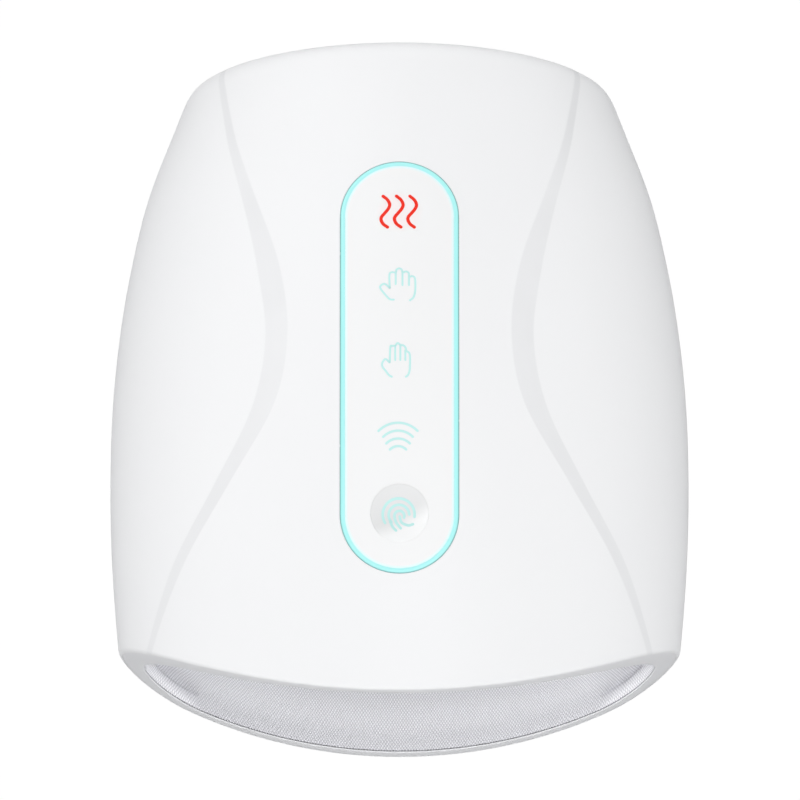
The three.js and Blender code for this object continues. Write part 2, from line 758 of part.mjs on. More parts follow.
const vibrationAt = [vibrationX, vibrationHeight];
const vibrationBack = vibrationY + vibrationLength;
const vibrationGroove = bar(
  'y', vibrationRadius + fitGap, vibrationAt, vibrationY - cutOverrun, vibrationBack, roundFacets,
);
const vibrationSaddle = block(
  [vibrationX - vibrationRadius, vibrationY, vibrationHeight - vibrationRadius - vibrationSaddleRoot],
  [vibrationX + vibrationRadius, vibrationY + vibrationSaddleLength, vibrationHeight - vibrationRadius / 2],
).subtract(vibrationGroove);
const upperNippleAt = [upperNippleX, upperNippleY];
const tunnelRoof = frames.intersect(aboveSeam).add(vibrationSaddle.subtract(frameInside))
  .subtract(bar('z', nippleRadius + fitGap, upperNippleAt, handTop, upperNippleTop));
addPart('tunnel_roof', tunnelRoof, framePlastic);

const trayFloor = handBottom - linerWall - frameBottomRoom;
const lowerBagTop = handBottom - linerWall - heatingPadThickness - palmPadThickness - 3 * fitGap;
const lowerNippleZ = (trayFloor + fitGap + lowerBagTop) / 2;
const lowerNippleAt = [lowerNippleX, lowerNippleZ];
let tunnelTray = frames.intersect(belowSeam);
traySpots.forEach(([x, y]) => {
  const boss = bar('z', bossRadius, [x, y], trayFloor - frameWall / 2, trayFloor + trayBossHeight);
  tunnelTray = tunnelTray.add(boss.subtract(sleeveOutside));
});
traySpots.forEach(([x, y]) => {
  const top = footHeight + counterboreDepth + baseLength;
  tunnelTray = tunnelTray.subtract(bar('z', baseThread + fitGap, [x, y], 0, top));
});
const lowerNippleStart = padBack - padCorner;
const lowerNippleHole = bar('y', nippleRadius + fitGap, lowerNippleAt, lowerNippleStart, lowerNippleEnd);
tunnelTray = tunnelTray.subtract(lowerNippleHole);
addPart('tunnel_tray', tunnelTray, framePlastic);

// Upper air bag: it fills the room between the sleeve and the upper frame
const upperBagOutline = roundedPlate(upperBagHalfWidth, padFront, padBack, padCorner);
const bagCeiling = frameRoom(-fitGap);
const upperBag = tunnelSolid(bagCeiling).subtract(sleeveOutside)
  .intersect(prism(upperBagOutline, handTop - upperBagSkirt, crownHeight))
  .add(bar('z', nippleRadius, upperNippleAt, handTop + linerWall + frameTopRoom / 2, upperNippleTop));
addPart('upper_airbag', upperBag, airbagSkin);

// Lower stack from the tray up: air bag, foam palm pad, heating pad
const padOutline = roundedPlate(padHalfWidth, padFront, padBack, padCorner);
const lowerBag = prism(padOutline, trayFloor + fitGap, lowerBagTop).intersect(tunnelSolid(bagCeiling))
  .add(bar('y', nippleRadius, lowerNippleAt, lowerNippleStart, lowerNippleEnd));
const palmPadBottom = lowerBagTop + fitGap;
const heatingPadBottom = palmPadBottom + palmPadThickness + fitGap;
const stackRoom = tunnelSolid(bagCeiling).subtract(sleeveOutside);
addPart('lower_airbag', lowerBag, airbagSkin);
addPart('palm_pad', prism(padOutline, palmPadBottom, palmPadBottom + palmPadThickness)
  .intersect(stackRoom), padFoam);
addPart('heating_pad', prism(padOutline, heatingPadBottom, heatingPadBottom + heatingPadThickness)
  .intersect(stackRoom), heaterFilm);

// Control panel and light ring, flush with the dome
const panelSkin = outerBody.subtract(bodySolid(panelThickness));
addPart('light_ring', panelSkin.intersect(panelPrism(0)).subtract(panelPrism(ringWidth)), ringCyan);
const buttonAt = [0, buttonY];
const buttonHole = bar('z', buttonRadius + fitGap, buttonAt, ...panelHeights, roundFacets);
const panel = panelSkin.intersect(panelPrism(ringWidth + fitGap)).subtract(buttonHole);
addPart('control_panel', panel, panelWhite);

// Power button: a cap with a finger dish and a flange that the panel holds in
const crownAtButton = roofHeight(bodyArch(buttonY, 0), 0);
const crownBehind = roofHeight(bodyArch(buttonY + dishRadius, 0), 0);
const crownAhead = roofHeight(bodyArch(buttonY - dishRadius, 0), 0);
const dishTilt = Math.atan2(crownBehind - crownAhead, 2 * dishRadius);
const dishProfile = [];
for (let k = 0; k <= cornerSteps; k += 1) {
  const share = k / cornerSteps;
  dishProfile.push(new THREE.Vector2(dishRadius * share, dishDepth * (share ** 2 - 1)));
}
dishProfile.push(new THREE.Vector2(dishRadius, cutOverrun), new THREE.Vector2(0, cutOverrun));
const dish = solid(new THREE.LatheGeometry(dishProfile, roundFacets)
  .rotateX(Math.PI / 2 + dishTilt).translate(0, buttonY, crownAtButton));
const button = bar('z', buttonRadius, buttonAt, buttonFoot, crownHeight, roundFacets).intersect(outerBody)
  .add(bar('z', buttonRadius + buttonFlange, buttonAt, buttonFoot, crownHeight, roundFacets)
    .intersect(underPanel))
  .subtract(dish);
addPart('power_button', button, panelWhite);

// Touch board, with the light box that keeps each icon's light apart, and the switch
const boardHalf = touchBoardWidth / 2;
const boardFrontY = panelFrontY + touchBoardEndRoom;
const boardBackY = panelBackY - touchBoardEndRoom;
const touchBoardBottom = touchBoardTop - boardThickness;
const boardOutline = roundedPlate(boardHalf, boardFrontY, boardBackY, touchBoardCorner);
let touchBoard = prism(boardOutline, touchBoardBottom, touchBoardTop);
touchSpots.forEach(([x, y]) => {
  const ends = [touchBoardBottom - cutOverrun, touchBoardTop + cutOverrun];
  touchBoard = touchBoard.subtract(bar('z', smallThread + fitGap, [x, y], ...ends));
});
addPart('touch_board', touchBoard, boardGreen);
touchSpots.forEach(([x, y], index) => {
  const seat = touchBoardBottom - fitGap;
  screw(`board_screw_${index + 1}`, x, y, seat, smallThread, smallHead, smallHeadHeight, smallLength);
});
const boxInset = ringWidth + 2 * fitGap + ledgeOverlap;
const boxBottom = touchBoardTop + fitGap;
let lightBox = panelPrism(boxInset).intersect(underPanel)
  .subtract(block([-bodyWidth, frontY, 0], [bodyWidth, backY, boxBottom]));
for (let k = 1; k <= iconCount; k += 1) {
  const well = bar('z', iconWellRadius, [0, buttonY + iconPitch * k], 0, crownHeight + cutOverrun);
  lightBox = lightBox.subtract(well);
}
const buttonWellRadius = buttonRadius + buttonFlange + fitGap;
const buttonWell = bar('z', buttonWellRadius, buttonAt, 0, crownHeight + cutOverrun, roundFacets);
addPart('light_box', lightBox.subtract(buttonWell), boardWhite);

const switchTop = boxBottom + switchHeight;
const switchHalf = switchSize / 2;
const plungerBottom = switchTop - plungerDepth;
const plungerBoreEnd = plungerBottom - fitGap - buttonTravel;
const plungerBore = bar('z', plungerRadius + fitGap, buttonAt, plungerBoreEnd, crownHeight);
const switchBlank = block(
  [-switchHalf, buttonY - switchHalf, boxBottom],
  [switchHalf, buttonY + switchHalf, switchTop],
);
addPart('power_switch', switchBlank.subtract(plungerBore), switchBlack);
const plunger = bar('z', plungerRadius, buttonAt, plungerBottom, buttonFoot - fitGap);
addPart('switch_plunger', plunger, switchBlack);

// Rear frame: a wall across the housing behind the sleeve, and a shelf for the pump
const rearOutline = bodySolid(shellWall + rearSideRoom);
const wallBlank = block(
  [-bodyWidth, rearWallY, baseFloor + fitGap],
  [bodyWidth, rearWallBack, shelfTop + rearWallRise],
);
const shelf = block(
  [-shelfHalfWidth, rearWallY, shelfTop - shelfThickness],
  [shelfHalfWidth, shelfBack, shelfTop],
);
const wallFoot = block(
  [-shelfHalfWidth, rearWallY, baseFloor + fitGap],
  [shelfHalfWidth, rearWallBack, shelfTop],
);
let rearFrame = wallBlank.add(shelf).intersect(rearOutline).add(wallFoot);
[-1, 1].forEach((side) => {
  const edge = side * (shelfHalfWidth - rearWallThickness / 2);
  const outline = new THREE.Shape();
  outline.moveTo(0, 0);
  outline.lineTo(gussetLength, 0);
  outline.lineTo(0, -gussetLength / 2);
  outline.closePath();
  const gusset = new THREE.ExtrudeGeometry(outline, { depth: rearWallThickness, bevelEnabled: false });
  gusset.rotateZ(Math.PI / 2).rotateY(Math.PI / 2);
  gusset.translate(edge - rearWallThickness / 2, rearWallBack - fitGap, shelfTop - shelfThickness);
  rearFrame = rearFrame.add(solid(gusset));
});
rearFrame = rearFrame.subtract(bar('y', nippleRadius + fitGap, lowerNippleAt, padBack, lowerNippleEnd));
addPart('rear_frame', rearFrame, framePlastic);

// Battery: two cells lying across the base in a cradle
const cradleFront = rearWallBack + fitGap;
const cellFrontY = cradleFront + cradleWall + fitGap + cellRadius;
const cellBackY = cellFrontY + cellPitch;
const cradleBack = cellBackY + cellRadius + fitGap + cradleWall;
let cradle = block(
  [-cradleHalf, cradleFront, cradleBottom],
  [cradleHalf, cradleBack, cradleBottom + cradleHeight],
);
[cellFrontY, cellBackY].forEach((y, index) => {
  const groove = cellLength / 2 + cellTerminalHeight + fitGap;
  cradle = cradle.subtract(bar('x', cellRadius + fitGap, [y, cellZ], -groove, groove, roundFacets));
  const cell = bar('x', cellRadius, [y, cellZ], -cellLength / 2, cellLength / 2, roundFacets)
    .add(bar('x', cellTerminalRadius, [y, cellZ], 0, cellLength / 2 + cellTerminalHeight));
  addPart(`battery_cell_${index + 1}`, cell, cellBlue);
});
addPart('battery_cradle', cradle.intersect(bodySolid(shellWall + fitGap, innerSteps)), framePlastic);

// Main board on four posts of the lower shell
let mainBoard = block(
  [-mainBoardHalfWidth, mainBoardFront, mainBoardTop - boardThickness],
  [mainBoardHalfWidth, mainBoardBack, mainBoardTop],
);
postSpots.forEach(([x, y]) => {
  const hole = bar('z', smallThread + fitGap, [x, y], postTop, mainBoardTop + cutOverrun);
  mainBoard = mainBoard.subtract(hole);
});
addPart('main_board', mainBoard, boardGreen);
postSpots.forEach(([x, y], index) => {
  const bottom = mainBoardTop + fitGap - smallLength;
  const body = bar('z', smallThread, [x, y], bottom, mainBoardTop + fitGap + smallHeadHeight / 2)
    .add(bar('z', smallHead, [x, y], mainBoardTop + fitGap, mainBoardTop + fitGap + smallHeadHeight));
  addPart(`main_board_screw_${index + 1}`, body, steel);
});

// Air pump: a motor in a rubber saddle, a crank on its shaft and a pump head
const saddleBottom = shelfTop + fitGap;
const motorZ = saddleBottom + saddleWall + fitGap + motorRadius;
const motorAt = [pumpY, motorZ];
const motorRight = motorLeft + motorLength;
const saddleMiddle = (motorLeft + motorRight) / 2;
const saddle = block(
  [saddleMiddle - saddleLength / 2, pumpY - motorRadius, saddleBottom],
  [saddleMiddle + saddleLength / 2, pumpY + motorRadius, saddleBottom + saddleHeight],
).subtract(bar('x', motorRadius + fitGap, motorAt, motorLeft - cutOverrun, motorRight, roundFacets));
addPart('pump_saddle', saddle, rubberGrey);
const motor = bar('x', motorRadius, motorAt, motorLeft, motorRight, roundFacets)
  .subtract(bar('x', shaftBore, motorAt, motorRight - shaftDepth - fitGap, motorRight + cutOverrun));
addPart('pump_motor', motor, steel);
const headLeft = motorRight + fitGap;
const headRight = headLeft + headLength;
const headHalf = headSize / 2;
const headTop = motorZ + headHalf;
const headBarbAt = [(headLeft + headRight) / 2, pumpY - headHalf / 2];
const head = block([headLeft, pumpY - headHalf, motorZ - headHalf], [headRight, pumpY + headHalf, headTop])
  .subtract(bar('x', headCavity, motorAt, headLeft - cutOverrun, headLeft + headCavityDepth, roundFacets))
  .add(bar('z', barbRadius, headBarbAt, headTop - barbLength / 2, headTop + barbLength))
  .add(block(
    [headLeft, pumpY - headHalf, shelfTop + fitGap],
    [headLeft + crankStart, pumpY + headHalf, motorZ - headHalf + fitGap],
  ));
addPart('pump_head', head, framePlastic);
const crankLeft = headLeft + crankStart;
const crankPinAt = [pumpY, motorZ + crankPinOffset];
const crankRight = crankLeft + crankThickness;
const crankMiddle = crankLeft + crankThickness / 2;
const crank = bar('x', shaftRadius, motorAt, motorRight - shaftDepth, crankMiddle)
  .add(bar('x', crankRadius, motorAt, crankLeft, crankRight, roundFacets))
  .add(bar('x', crankPinRadius, crankPinAt, crankMiddle, crankRight + crankPinLength));
addPart('pump_crank', crank, steel);

// Two solenoid valves, and the manifold that shares the pump's air between them
const valveBottom = shelfTop + fitGap;
const valveTop = valveBottom + valveHeight;
const valveHalf = valveSize / 2;
['upper', 'lower'].forEach((name, index) => {
  const y = valveFrontY + valvePitch * index;
  const boreBottom = valveTop - valveBoreDepth;
  const valve = block(
    [valveX - valveHalf, y - valveHalf, valveBottom],
    [valveX + valveHalf, y + valveHalf, valveTop],
  ).subtract(bar('z', valveBore, [valveX, y], boreBottom, valveTop + cutOverrun));
  addPart(`valve_${name}`, valve, framePlastic);
  const low = boreBottom + fitGap;
  const plunger = bar('z', valvePlungerRadius, [valveX, y], low, low + valvePlungerLength);
  addPart(`valve_${name}_plunger`, plunger, steel);
});
const manifoldBottom = valveTop + fitGap;
const manifoldTop = manifoldBottom + manifoldHeight;
const manifoldMiddle = (manifoldBottom + manifoldTop) / 2;
const manifoldFront = valveFrontY - valveHalf;
const manifoldBack = valveFrontY + valvePitch + valveHalf;
const upperBarbAt = [valveX - valveHalf / 2, valveFrontY];
const pumpBarbAt = [valveX - valveHalf / 2, valveFrontY + valvePitch * pumpBarbShare];
const manifoldRight = valveX + valveHalf;
const manifold = block(
  [valveX - valveHalf, manifoldFront, manifoldBottom],
  [manifoldRight, manifoldBack, manifoldTop],
).add(bar('z', barbRadius, upperBarbAt, manifoldMiddle, manifoldTop + barbLength))
  .add(bar('z', barbRadius, pumpBarbAt, manifoldMiddle, manifoldTop + barbLength))
  .add(bar('x', barbRadius, [valveFrontY, manifoldMiddle], valveX, manifoldRight + barbLength));
addPart('air_manifold', manifold, framePlastic);

// Air hoses, each a round tube along a smooth curve
function hose(name, points) {
  const places = points.map((point) => new THREE.Vector3(...point));
  const extrudePath = new THREE.CatmullRomCurve3(places, false, 'centripetal');
  const section = new THREE.Shape();
  for (let k = 0; k < hoseFacets; k += 1) {
    const angle = 2 * Math.PI * (k / hoseFacets);
    const place = [hoseRadius * Math.cos(angle), hoseRadius * Math.sin(angle)];
    if (k === 0) section.moveTo(...place);
    else section.lineTo(...place);
  }
  section.closePath();
  const tube = new THREE.ExtrudeGeometry(section, { extrudePath, steps: hoseSteps, bevelEnabled: false });
  addPart(name, solid(tube), hoseClear);
}
const bend = 2 * hoseRadius;
const manifoldBarbTop = manifoldTop + barbLength + fitGap;
const headBarbTop = headTop + barbLength + fitGap;
const pumpHoseCrest = Math.max(headBarbTop, manifoldBarbTop) + bend;
hose('pump_hose', [
  [...headBarbAt, headBarbTop],
  [...headBarbAt, headBarbTop + bend / 2],
  [headBarbAt[0] + bend, headBarbAt[1], pumpHoseCrest],
  [pumpBarbAt[0] - bend, pumpBarbAt[1], pumpHoseCrest],
  [...pumpBarbAt, manifoldBarbTop + bend / 2],
  [...pumpBarbAt, manifoldBarbTop],
]);
hose('upper_hose', [
  [...upperNippleAt, upperNippleTop + fitGap],
  [...upperNippleAt, upperNippleTop + bend],
  [upperNippleX, upperNippleY + bend, manifoldBarbTop + bend / 2],
  [upperBarbAt[0], upperBarbAt[1] - bend, manifoldBarbTop + bend],
  [...upperBarbAt, manifoldBarbTop + bend / 3],
  [...upperBarbAt, manifoldBarbTop],
]);
const lowerHoseX = shelfHalfWidth + 2 * hoseRadius;
hose('lower_hose', [
  [lowerNippleX, lowerNippleEnd + fitGap, lowerNippleZ],
  [lowerNippleX, lowerNippleEnd + bend / 2, lowerNippleZ],
  [lowerHoseX, lowerNippleEnd + bend, lowerNippleZ + 2 * bend],
  [lowerHoseX, valveFrontY, mainBoardTop],
  [lowerHoseX, valveFrontY, shelfTop + bend],
  [manifoldRight + barbLength + bend, valveFrontY, manifoldMiddle - bend / 2],
  [manifoldRight + barbLength + bend / 2, valveFrontY, manifoldMiddle],
  [manifoldRight + barbLength + fitGap, valveFrontY, manifoldMiddle],
]);

// Vibration motor in its saddle on the upper frame, with an off-centre weight
const weightShaftEnd = vibrationY + weightShaftDepth;
const vibrationMotor = bar('y', vibrationRadius, vibrationAt, vibrationY, vibrationBack, roundFacets)
  .subtract(bar('y', weightShaftBore, vibrationAt, vibrationY - cutOverrun, weightShaftEnd + fitGap));
addPart('vibration_motor', vibrationMotor, steel);
const weightBack = vibrationY - weightGap;
const weightFront = weightBack - weightLength;
const weight = bar('y', weightRadius, vibrationAt, weightFront, weightBack, roundFacets)
  .subtract(block(
    [vibrationX - weightRadius, weightFront - cutOverrun, vibrationHeight + weightShaft],
    [vibrationX + weightRadius, weightBack + cutOverrun, vibrationHeight + weightRadius + cutOverrun],
  ))
  .add(bar('y', weightShaft, vibrationAt, weightFront, weightShaftEnd));
addPart('vibration_weight', weight, steel);

export default model;
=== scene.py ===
import bpy
import numpy as np
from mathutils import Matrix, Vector


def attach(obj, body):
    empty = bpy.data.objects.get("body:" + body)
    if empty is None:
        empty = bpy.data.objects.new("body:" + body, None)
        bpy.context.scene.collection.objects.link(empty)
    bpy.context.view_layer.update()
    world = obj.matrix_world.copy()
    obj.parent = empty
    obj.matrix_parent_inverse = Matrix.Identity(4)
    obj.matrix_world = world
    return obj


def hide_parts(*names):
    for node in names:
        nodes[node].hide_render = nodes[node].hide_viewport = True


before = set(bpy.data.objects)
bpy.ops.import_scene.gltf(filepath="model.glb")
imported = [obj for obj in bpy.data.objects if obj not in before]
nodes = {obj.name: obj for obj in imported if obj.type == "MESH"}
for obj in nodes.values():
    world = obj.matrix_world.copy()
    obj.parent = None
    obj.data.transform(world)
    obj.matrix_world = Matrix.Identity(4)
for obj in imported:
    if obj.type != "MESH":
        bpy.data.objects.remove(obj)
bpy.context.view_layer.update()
mm = 0.001

# Picture
# A long lens looks down on the mouth from in front, 73 degrees above the table. The picture's
# width is given as a length across the object, and the aim is the picture's middle.
picture_width = 243.2 * mm
lens_length = 800
sensor_width = 36
view_elevation = np.radians(73)
aim = Vector((0.15, -4.4, 45)) * mm


def add_object(name, data):
    """A new object in the scene."""
    added = bpy.data.objects.new(name, data)
    bpy.context.scene.collection.objects.link(added)
    return added


towards_camera = Vector((0, -np.cos(view_elevation), np.sin(view_elevation)))
camera_distance = picture_width * lens_length / sensor_width
camera = add_object("Camera", bpy.data.cameras.new("Camera"))
camera.data.sensor_width = sensor_width
camera.data.lens = lens_length
camera.data.clip_end = camera_distance * 4
camera.location = aim + towards_camera * camera_distance
camera.rotation_euler = towards_camera.to_track_quat("Z", "Y").to_euler()
bpy.context.scene.camera = camera
bpy.context.scene.view_settings.view_transform = "Standard"

# Studio
# A white floor, a softbox steeply in front, a weaker one at the far left, and a bright low sky.
# The floor shows white to the camera, with a faint shadow, but not to gloss: the shell's steep
# sides mirror it as a soft grey edge.
floor_reach = 6.0
floor_colour = (0.22, 0.22, 0.225)
shadow_share = 0.08
white_level = 1.08
side_level = 2.18
light_slides = (("Z", 0.3, 0.6, 1.0, 0.03), ("X", 0.85, 1.0, 1.0, 0.6))
lamp_size = 0.7
lamps = {"key_light": ((-0.5, 0.8, 0.9), 3.3), "front_light": ((0.2, -0.42, 1.33), 8.3)}


def shader(name):
    """A new node material, its tree, and its Principled shader."""
    material = bpy.data.materials.new(name)
    material.use_nodes = True
    tree = material.node_tree
    return material, tree, tree.nodes["Principled BSDF"]


def feed(tree, node, inputs):
    """Gives a node's inputs, by name or number, a link where a socket is given and else a
    value. Colours are given without their opacity, which is 1."""
    for key, given in inputs.items():
        socket = node.inputs[key]
        if isinstance(given, bpy.types.NodeSocket):
            tree.links.new(given, socket)
        else:
            socket.default_value = (*given, 1) if socket.type == "RGBA" else given


def add_node(tree, kind, inputs, **settings):
    """The outputs of a new shader node with some settings and inputs."""
    node = tree.nodes.new(f"ShaderNode{kind}")
    for key, value in settings.items():
        setattr(node, key, value)
    feed(tree, node, inputs)
    return node.outputs


def worked_out(tree, operation, *numbers):
    """The result of a Math node's operation on numbers and sockets."""
    return add_node(tree, "Math", dict(enumerate(numbers)), operation=operation)[0]


def remapped(tree, value, start, end, low=0.0, high=1.0, kind="LINEAR"):
    """A value turned into low at start and high at end, and held past both."""
    ends = {"From Min": start, "From Max": end, "To Min": low, "To Max": high}
    return add_node(tree, "MapRange", {"Value": value, **ends}, interpolation_type=kind)["Result"]


def seen_by(tree, *rays):
    """The largest of some of Light Path's outputs: 1 for the rays named and 0 for all others."""
    path = add_node(tree, "LightPath", {})
    seen = path[rays[0]]
    for ray in rays[1:]:
        seen = worked_out(tree, "MAXIMUM", seen, path[ray])
    return seen


floor_material, tree, unused = shader("floor")
tree.nodes.remove(unused)
seen = seen_by(tree, "Is Camera Ray", "Is Transmission Ray")
diffuse = add_node(tree, "BsdfDiffuse", {"Color": floor_colour})[0]
white = add_node(tree, "Emission", {"Strength": white_level})[0]
share = worked_out(tree, "MULTIPLY", seen, 1 - shadow_share)
mixed = add_node(tree, "MixShader", {"Fac": share, 1: diffuse, 2: white})[0]
feed(tree, tree.nodes["Material Output"], {"Surface": mixed})
floor = add_object("floor", bpy.data.meshes.new("floor"))
square = ((-1, -1), (1, -1), (1, 1), (-1, 1))
floor.data.from_pydata([(x * floor_reach, y * floor_reach, 0) for x, y in square], [], [(0, 1, 2, 3)])
floor.data.materials.append(floor_material)

world = bpy.data.worlds.new("studio")
bpy.context.scene.world = world
world.use_nodes = True
tree = world.node_tree
towards = add_node(tree, "SeparateXYZ", {0: add_node(tree, "TexCoord", {})["Generated"]})
world_light = side_level
for axis, *ends in light_slides:
    slide = remapped(tree, towards[axis], *ends, "SMOOTHSTEP")
    world_light = worked_out(tree, "MULTIPLY", world_light, slide)
seen = seen_by(tree, "Is Camera Ray", "Is Glossy Ray", "Is Transmission Ray")
level = remapped(tree, seen, 0.0, 1.0, world_light, white_level)
feed(tree, tree.nodes["Background"], {"Color": (1, 1, 1), "Strength": level})

for name, (place, power) in lamps.items():
    lamp = add_object(name, bpy.data.lights.new(name, "AREA"))
    lamp.data.energy = power
    lamp.data.size = lamp_size
    lamp.location = place
    lamp.rotation_euler = Vector(place).to_track_quat("Z", "Y").to_euler()

# Upper shell
# A moulded white dome, 2.6 mm thick, whose raised centre is parted from the two sides by a long
# sloping facet. The body is a row of arches along its length. Lengths from here on are in mm.
body_length = 211
body_width = 176
front_y = -body_length / 2
back_y = body_length / 2
foot_height = 3.2
seam_height = 25
roof_rise = 69.2
sole_drop = seam_height - foot_height
front_radius = 150
back_round = 18.2
arch_power = 1.6
back_plan_power = 6.2
back_crown_power = 2.3
facet_slope = 0.2
facet_edge_round = 0.45
edge_room_beside = 0.3
edge_room_inside = 0.25
least_blend = 1e-4
half_width_shares = [
    (0, 0.935), (0.12, 0.968), (0.335, 1), (0.55, 0.984), (0.7, 0.934), (0.815, 0.87), (0.91, 0.787),
    (1, 0.706),
]
rise_shares = [
    (0, 0.766), (0.215, 0.915), (0.43, 0.992), (0.5, 1), (0.62, 0.983), (0.785, 0.904), (0.9, 0.804),
    (1, 0.711),
]
facet_outer_shares = [
    (0, 0.99), (0.12, 0.885), (0.21, 0.79), (0.31, 0.64), (0.42, 0.502), (0.51, 0.465), (0.62, 0.505),
    (0.74, 0.594), (0.86, 0.722), (1, 0.9),
]
facet_inner_shares = [
    (0, 0.97), (0.12, 0.86), (0.21, 0.747), (0.31, 0.583), (0.42, 0.424), (0.51, 0.388), (0.62, 0.427),
    (0.74, 0.545), (0.86, 0.69), (1, 0.875),
]
shell_wall = 2.6
seam_gap = 0.12
seam_round = 0.3
rim_lip = 1.0
rim_round = 0.75
bezel_seat = 6.3
panel_half = 17.9
panel_front_y = -71.6
panel_back_y = 57.6
panel_opening = 18.0
near_centre_y = panel_front_y + panel_half
far_centre_y = panel_back_y - panel_half


def cubic(t, start, end, leaving, arriving):
    """The cubic from start to end, as t goes from 0 to 1, with its slopes at both."""
    first = (2 * t**3 - 3 * t**2 + 1) * start + (t**3 - 2 * t**2 + t) * leaving
    return first + (3 * t**2 - 2 * t**3) * end + (t**3 - t**2) * arriving


def along(table, place):
    """A smooth curve through a table's rows: a cubic between rows, its slope at a row the
    average of the slopes on both sides, the shorter stretch's slope counting for more."""
    places, values = np.array(table, float).T
    step = np.diff(places)
    slope = np.diff(values) / step
    inner = (slope[:-1] * step[1:] + slope[1:] * step[:-1]) / (step[1:] + step[:-1])
    tangent = np.concatenate([slope[:1], inner, slope[-1:]])
    place = np.clip(place, places[0], places[-1])
    i = np.clip(np.searchsorted(places, place) - 1, 0, len(step) - 1)
    run = step[i]
    return cubic((place - places[i]) / run, values[i], values[i + 1], run * tangent[i], run * tangent[i + 1])


def arch(y, inset=0.0):
    """Half width, rise, drop, the facet's outer and inner edges, and how far the plan is still
    open, at y, for the skin that lies inset inside the outer face. The back closes as
    superellipses."""
    place = (y - front_y) / body_length
    t = np.clip((y - (back_y - back_round)) / (back_round - inset), 0, 1)
    closing = 1 - t**back_plan_power
    plan = closing ** (1 / back_plan_power)
    half = (body_width / 2 * along(half_width_shares, place) - inset) * plan
    rise = (roof_rise * along(rise_shares, place) - inset) * closing ** (1 / back_crown_power)
    drop = (sole_drop - inset) * plan
    outer = half * along(facet_outer_shares, place)
    inner = half * along(facet_inner_shares, place)
    return half, rise, drop, outer, inner, plan


def ramp(distance, blend):
    """Zero below 0 and distance above it, with a parabola from -blend to blend between."""
    bent = (distance + blend) ** 2 / (4 * blend)
    return np.where(distance <= -blend, 0, np.where(distance >= blend, distance, bent))


def edge_blend(form):
    """Half length of the rounding on the facet's edges, kept well inside the facet."""
    half, _, _, outer, inner, _ = form
    room = np.minimum(edge_room_beside * (half - outer), edge_room_inside * (outer - inner))
    return np.maximum(np.minimum(facet_edge_round, room), least_blend)


def roof(form, x):
    """Height of the roof at x on an arch: the widest line's height, the plain arch, and the
    lift that the sloping facet gives the raised centre."""
    half, rise, _, outer, inner, _ = form
    share = np.minimum(np.abs(x) / half, 1)
    plain = rise * (1 - share**2) ** (1 / arch_power)
    blend = edge_blend(form)
    lift = facet_slope * (ramp(outer - np.abs(x), blend) - ramp(inner - np.abs(x), blend))
    return seam_height + plain + lift


def dome_height(x, y):
    """Height of the dome's outer face at x and y."""
    return roof(arch(y), x)


def front_face(x, depth):
    """Where y meets the curved front at x, a given depth behind it: an upright cylinder."""
    return front_y + front_radius - np.sqrt((front_radius - depth) ** 2 - x**2)


def mirrored_columns(counts):
    """Zone, share of the way through it, and side of every column, from the right edge over
    the middle to the left edge, from the number of columns in each zone of one side."""
    zone = np.concatenate([[0]] + [np.full(n, k) for k, n in enumerate(counts)])
    share = np.concatenate([[0]] + [np.arange(1, n + 1) / n for n in counts])
    halves = ((zone, 1), (share, 1), (np.ones(len(zone)), -1))
    return [np.concatenate([right, sign * right[-2::-1]]) for right, sign in halves]


def by_zone(zone, values):
    """The value of each column's own zone."""
    return np.select([zone == k for k in range(len(values))], values)


# Columns run along the body. From the seam in they lie on: its rounded edge, the side, the
# facet's outer edge, the facet, its inner edge, the band, and the width of the panel.
edge_columns = 4
roof_columns = (edge_columns, 30, 5, 6, 5, 40, 20)
roof_zone, roof_share, roof_side = mirrored_columns(roof_columns)
opening_start = sum(roof_columns[:-1])
opening_end = len(roof_zone) - 1 - opening_start
meeting_steps = 16


def roof_section(y, inset):
    """x and height of every roof column at y: even angles on the side, the band and the
    opening, even steps over the facet and its edges, and a rounded edge over the seam."""
    form = arch(y, inset)
    half, rise, _, outer, inner, plan = form
    blend = edge_blend(form)
    opening = panel_opening * plan
    w = roof_share
    low = np.arcsin(np.clip(((seam_gap + seam_round) / rise) ** (arch_power / 2), 0, 1))
    side_end = np.arccos(np.clip((outer + blend) / half, -1, 1))
    band_start = np.arccos(np.clip((inner - blend) / half, -1, 1))
    band_end = np.arccos(np.clip(opening / half, -1, 1))
    x = roof_side * by_zone(roof_zone, [
        half - seam_round * (1 - np.sin(w * np.pi / 2)) * plan - half * (1 - np.cos(low)) * w,
        half * np.cos(low + (side_end - low) * w),
        outer + blend * (1 - 2 * w),
        outer - blend + (inner - outer + 2 * blend) * w,
        inner + blend * (1 - 2 * w),
        half * np.cos(band_start + (band_end - band_start) * w),
        opening * np.cos(np.pi / 2 * w),
    ])
    edge = seam_height + seam_gap + seam_round * (1 - np.cos(w * np.pi / 2))
    return x, np.where(roof_zone == 0, edge, roof(form, x))


def section_points(section, y, inset):
    """Points of a section's columns, each at its own y."""
    x, z = section(y, inset)
    return np.stack([x, y, z], -1)


def meet_front(section, count, depth, inset):
    """y where each column meets the curved front, found by stepping between the two."""
    y = np.full(count, float(front_y))
    for _ in range(meeting_steps):
        y = front_face(section(y, inset)[0], depth)
    return y


def quarter_round(radius, count):
    """Steps round a rounded edge: pairs of an inset, from radius to 0, and a depth, from 0 to
    radius."""
    angle = np.linspace(0, np.pi / 2, count)
    return list(zip(radius * (1 - np.sin(angle)), radius * (1 - np.cos(angle))))


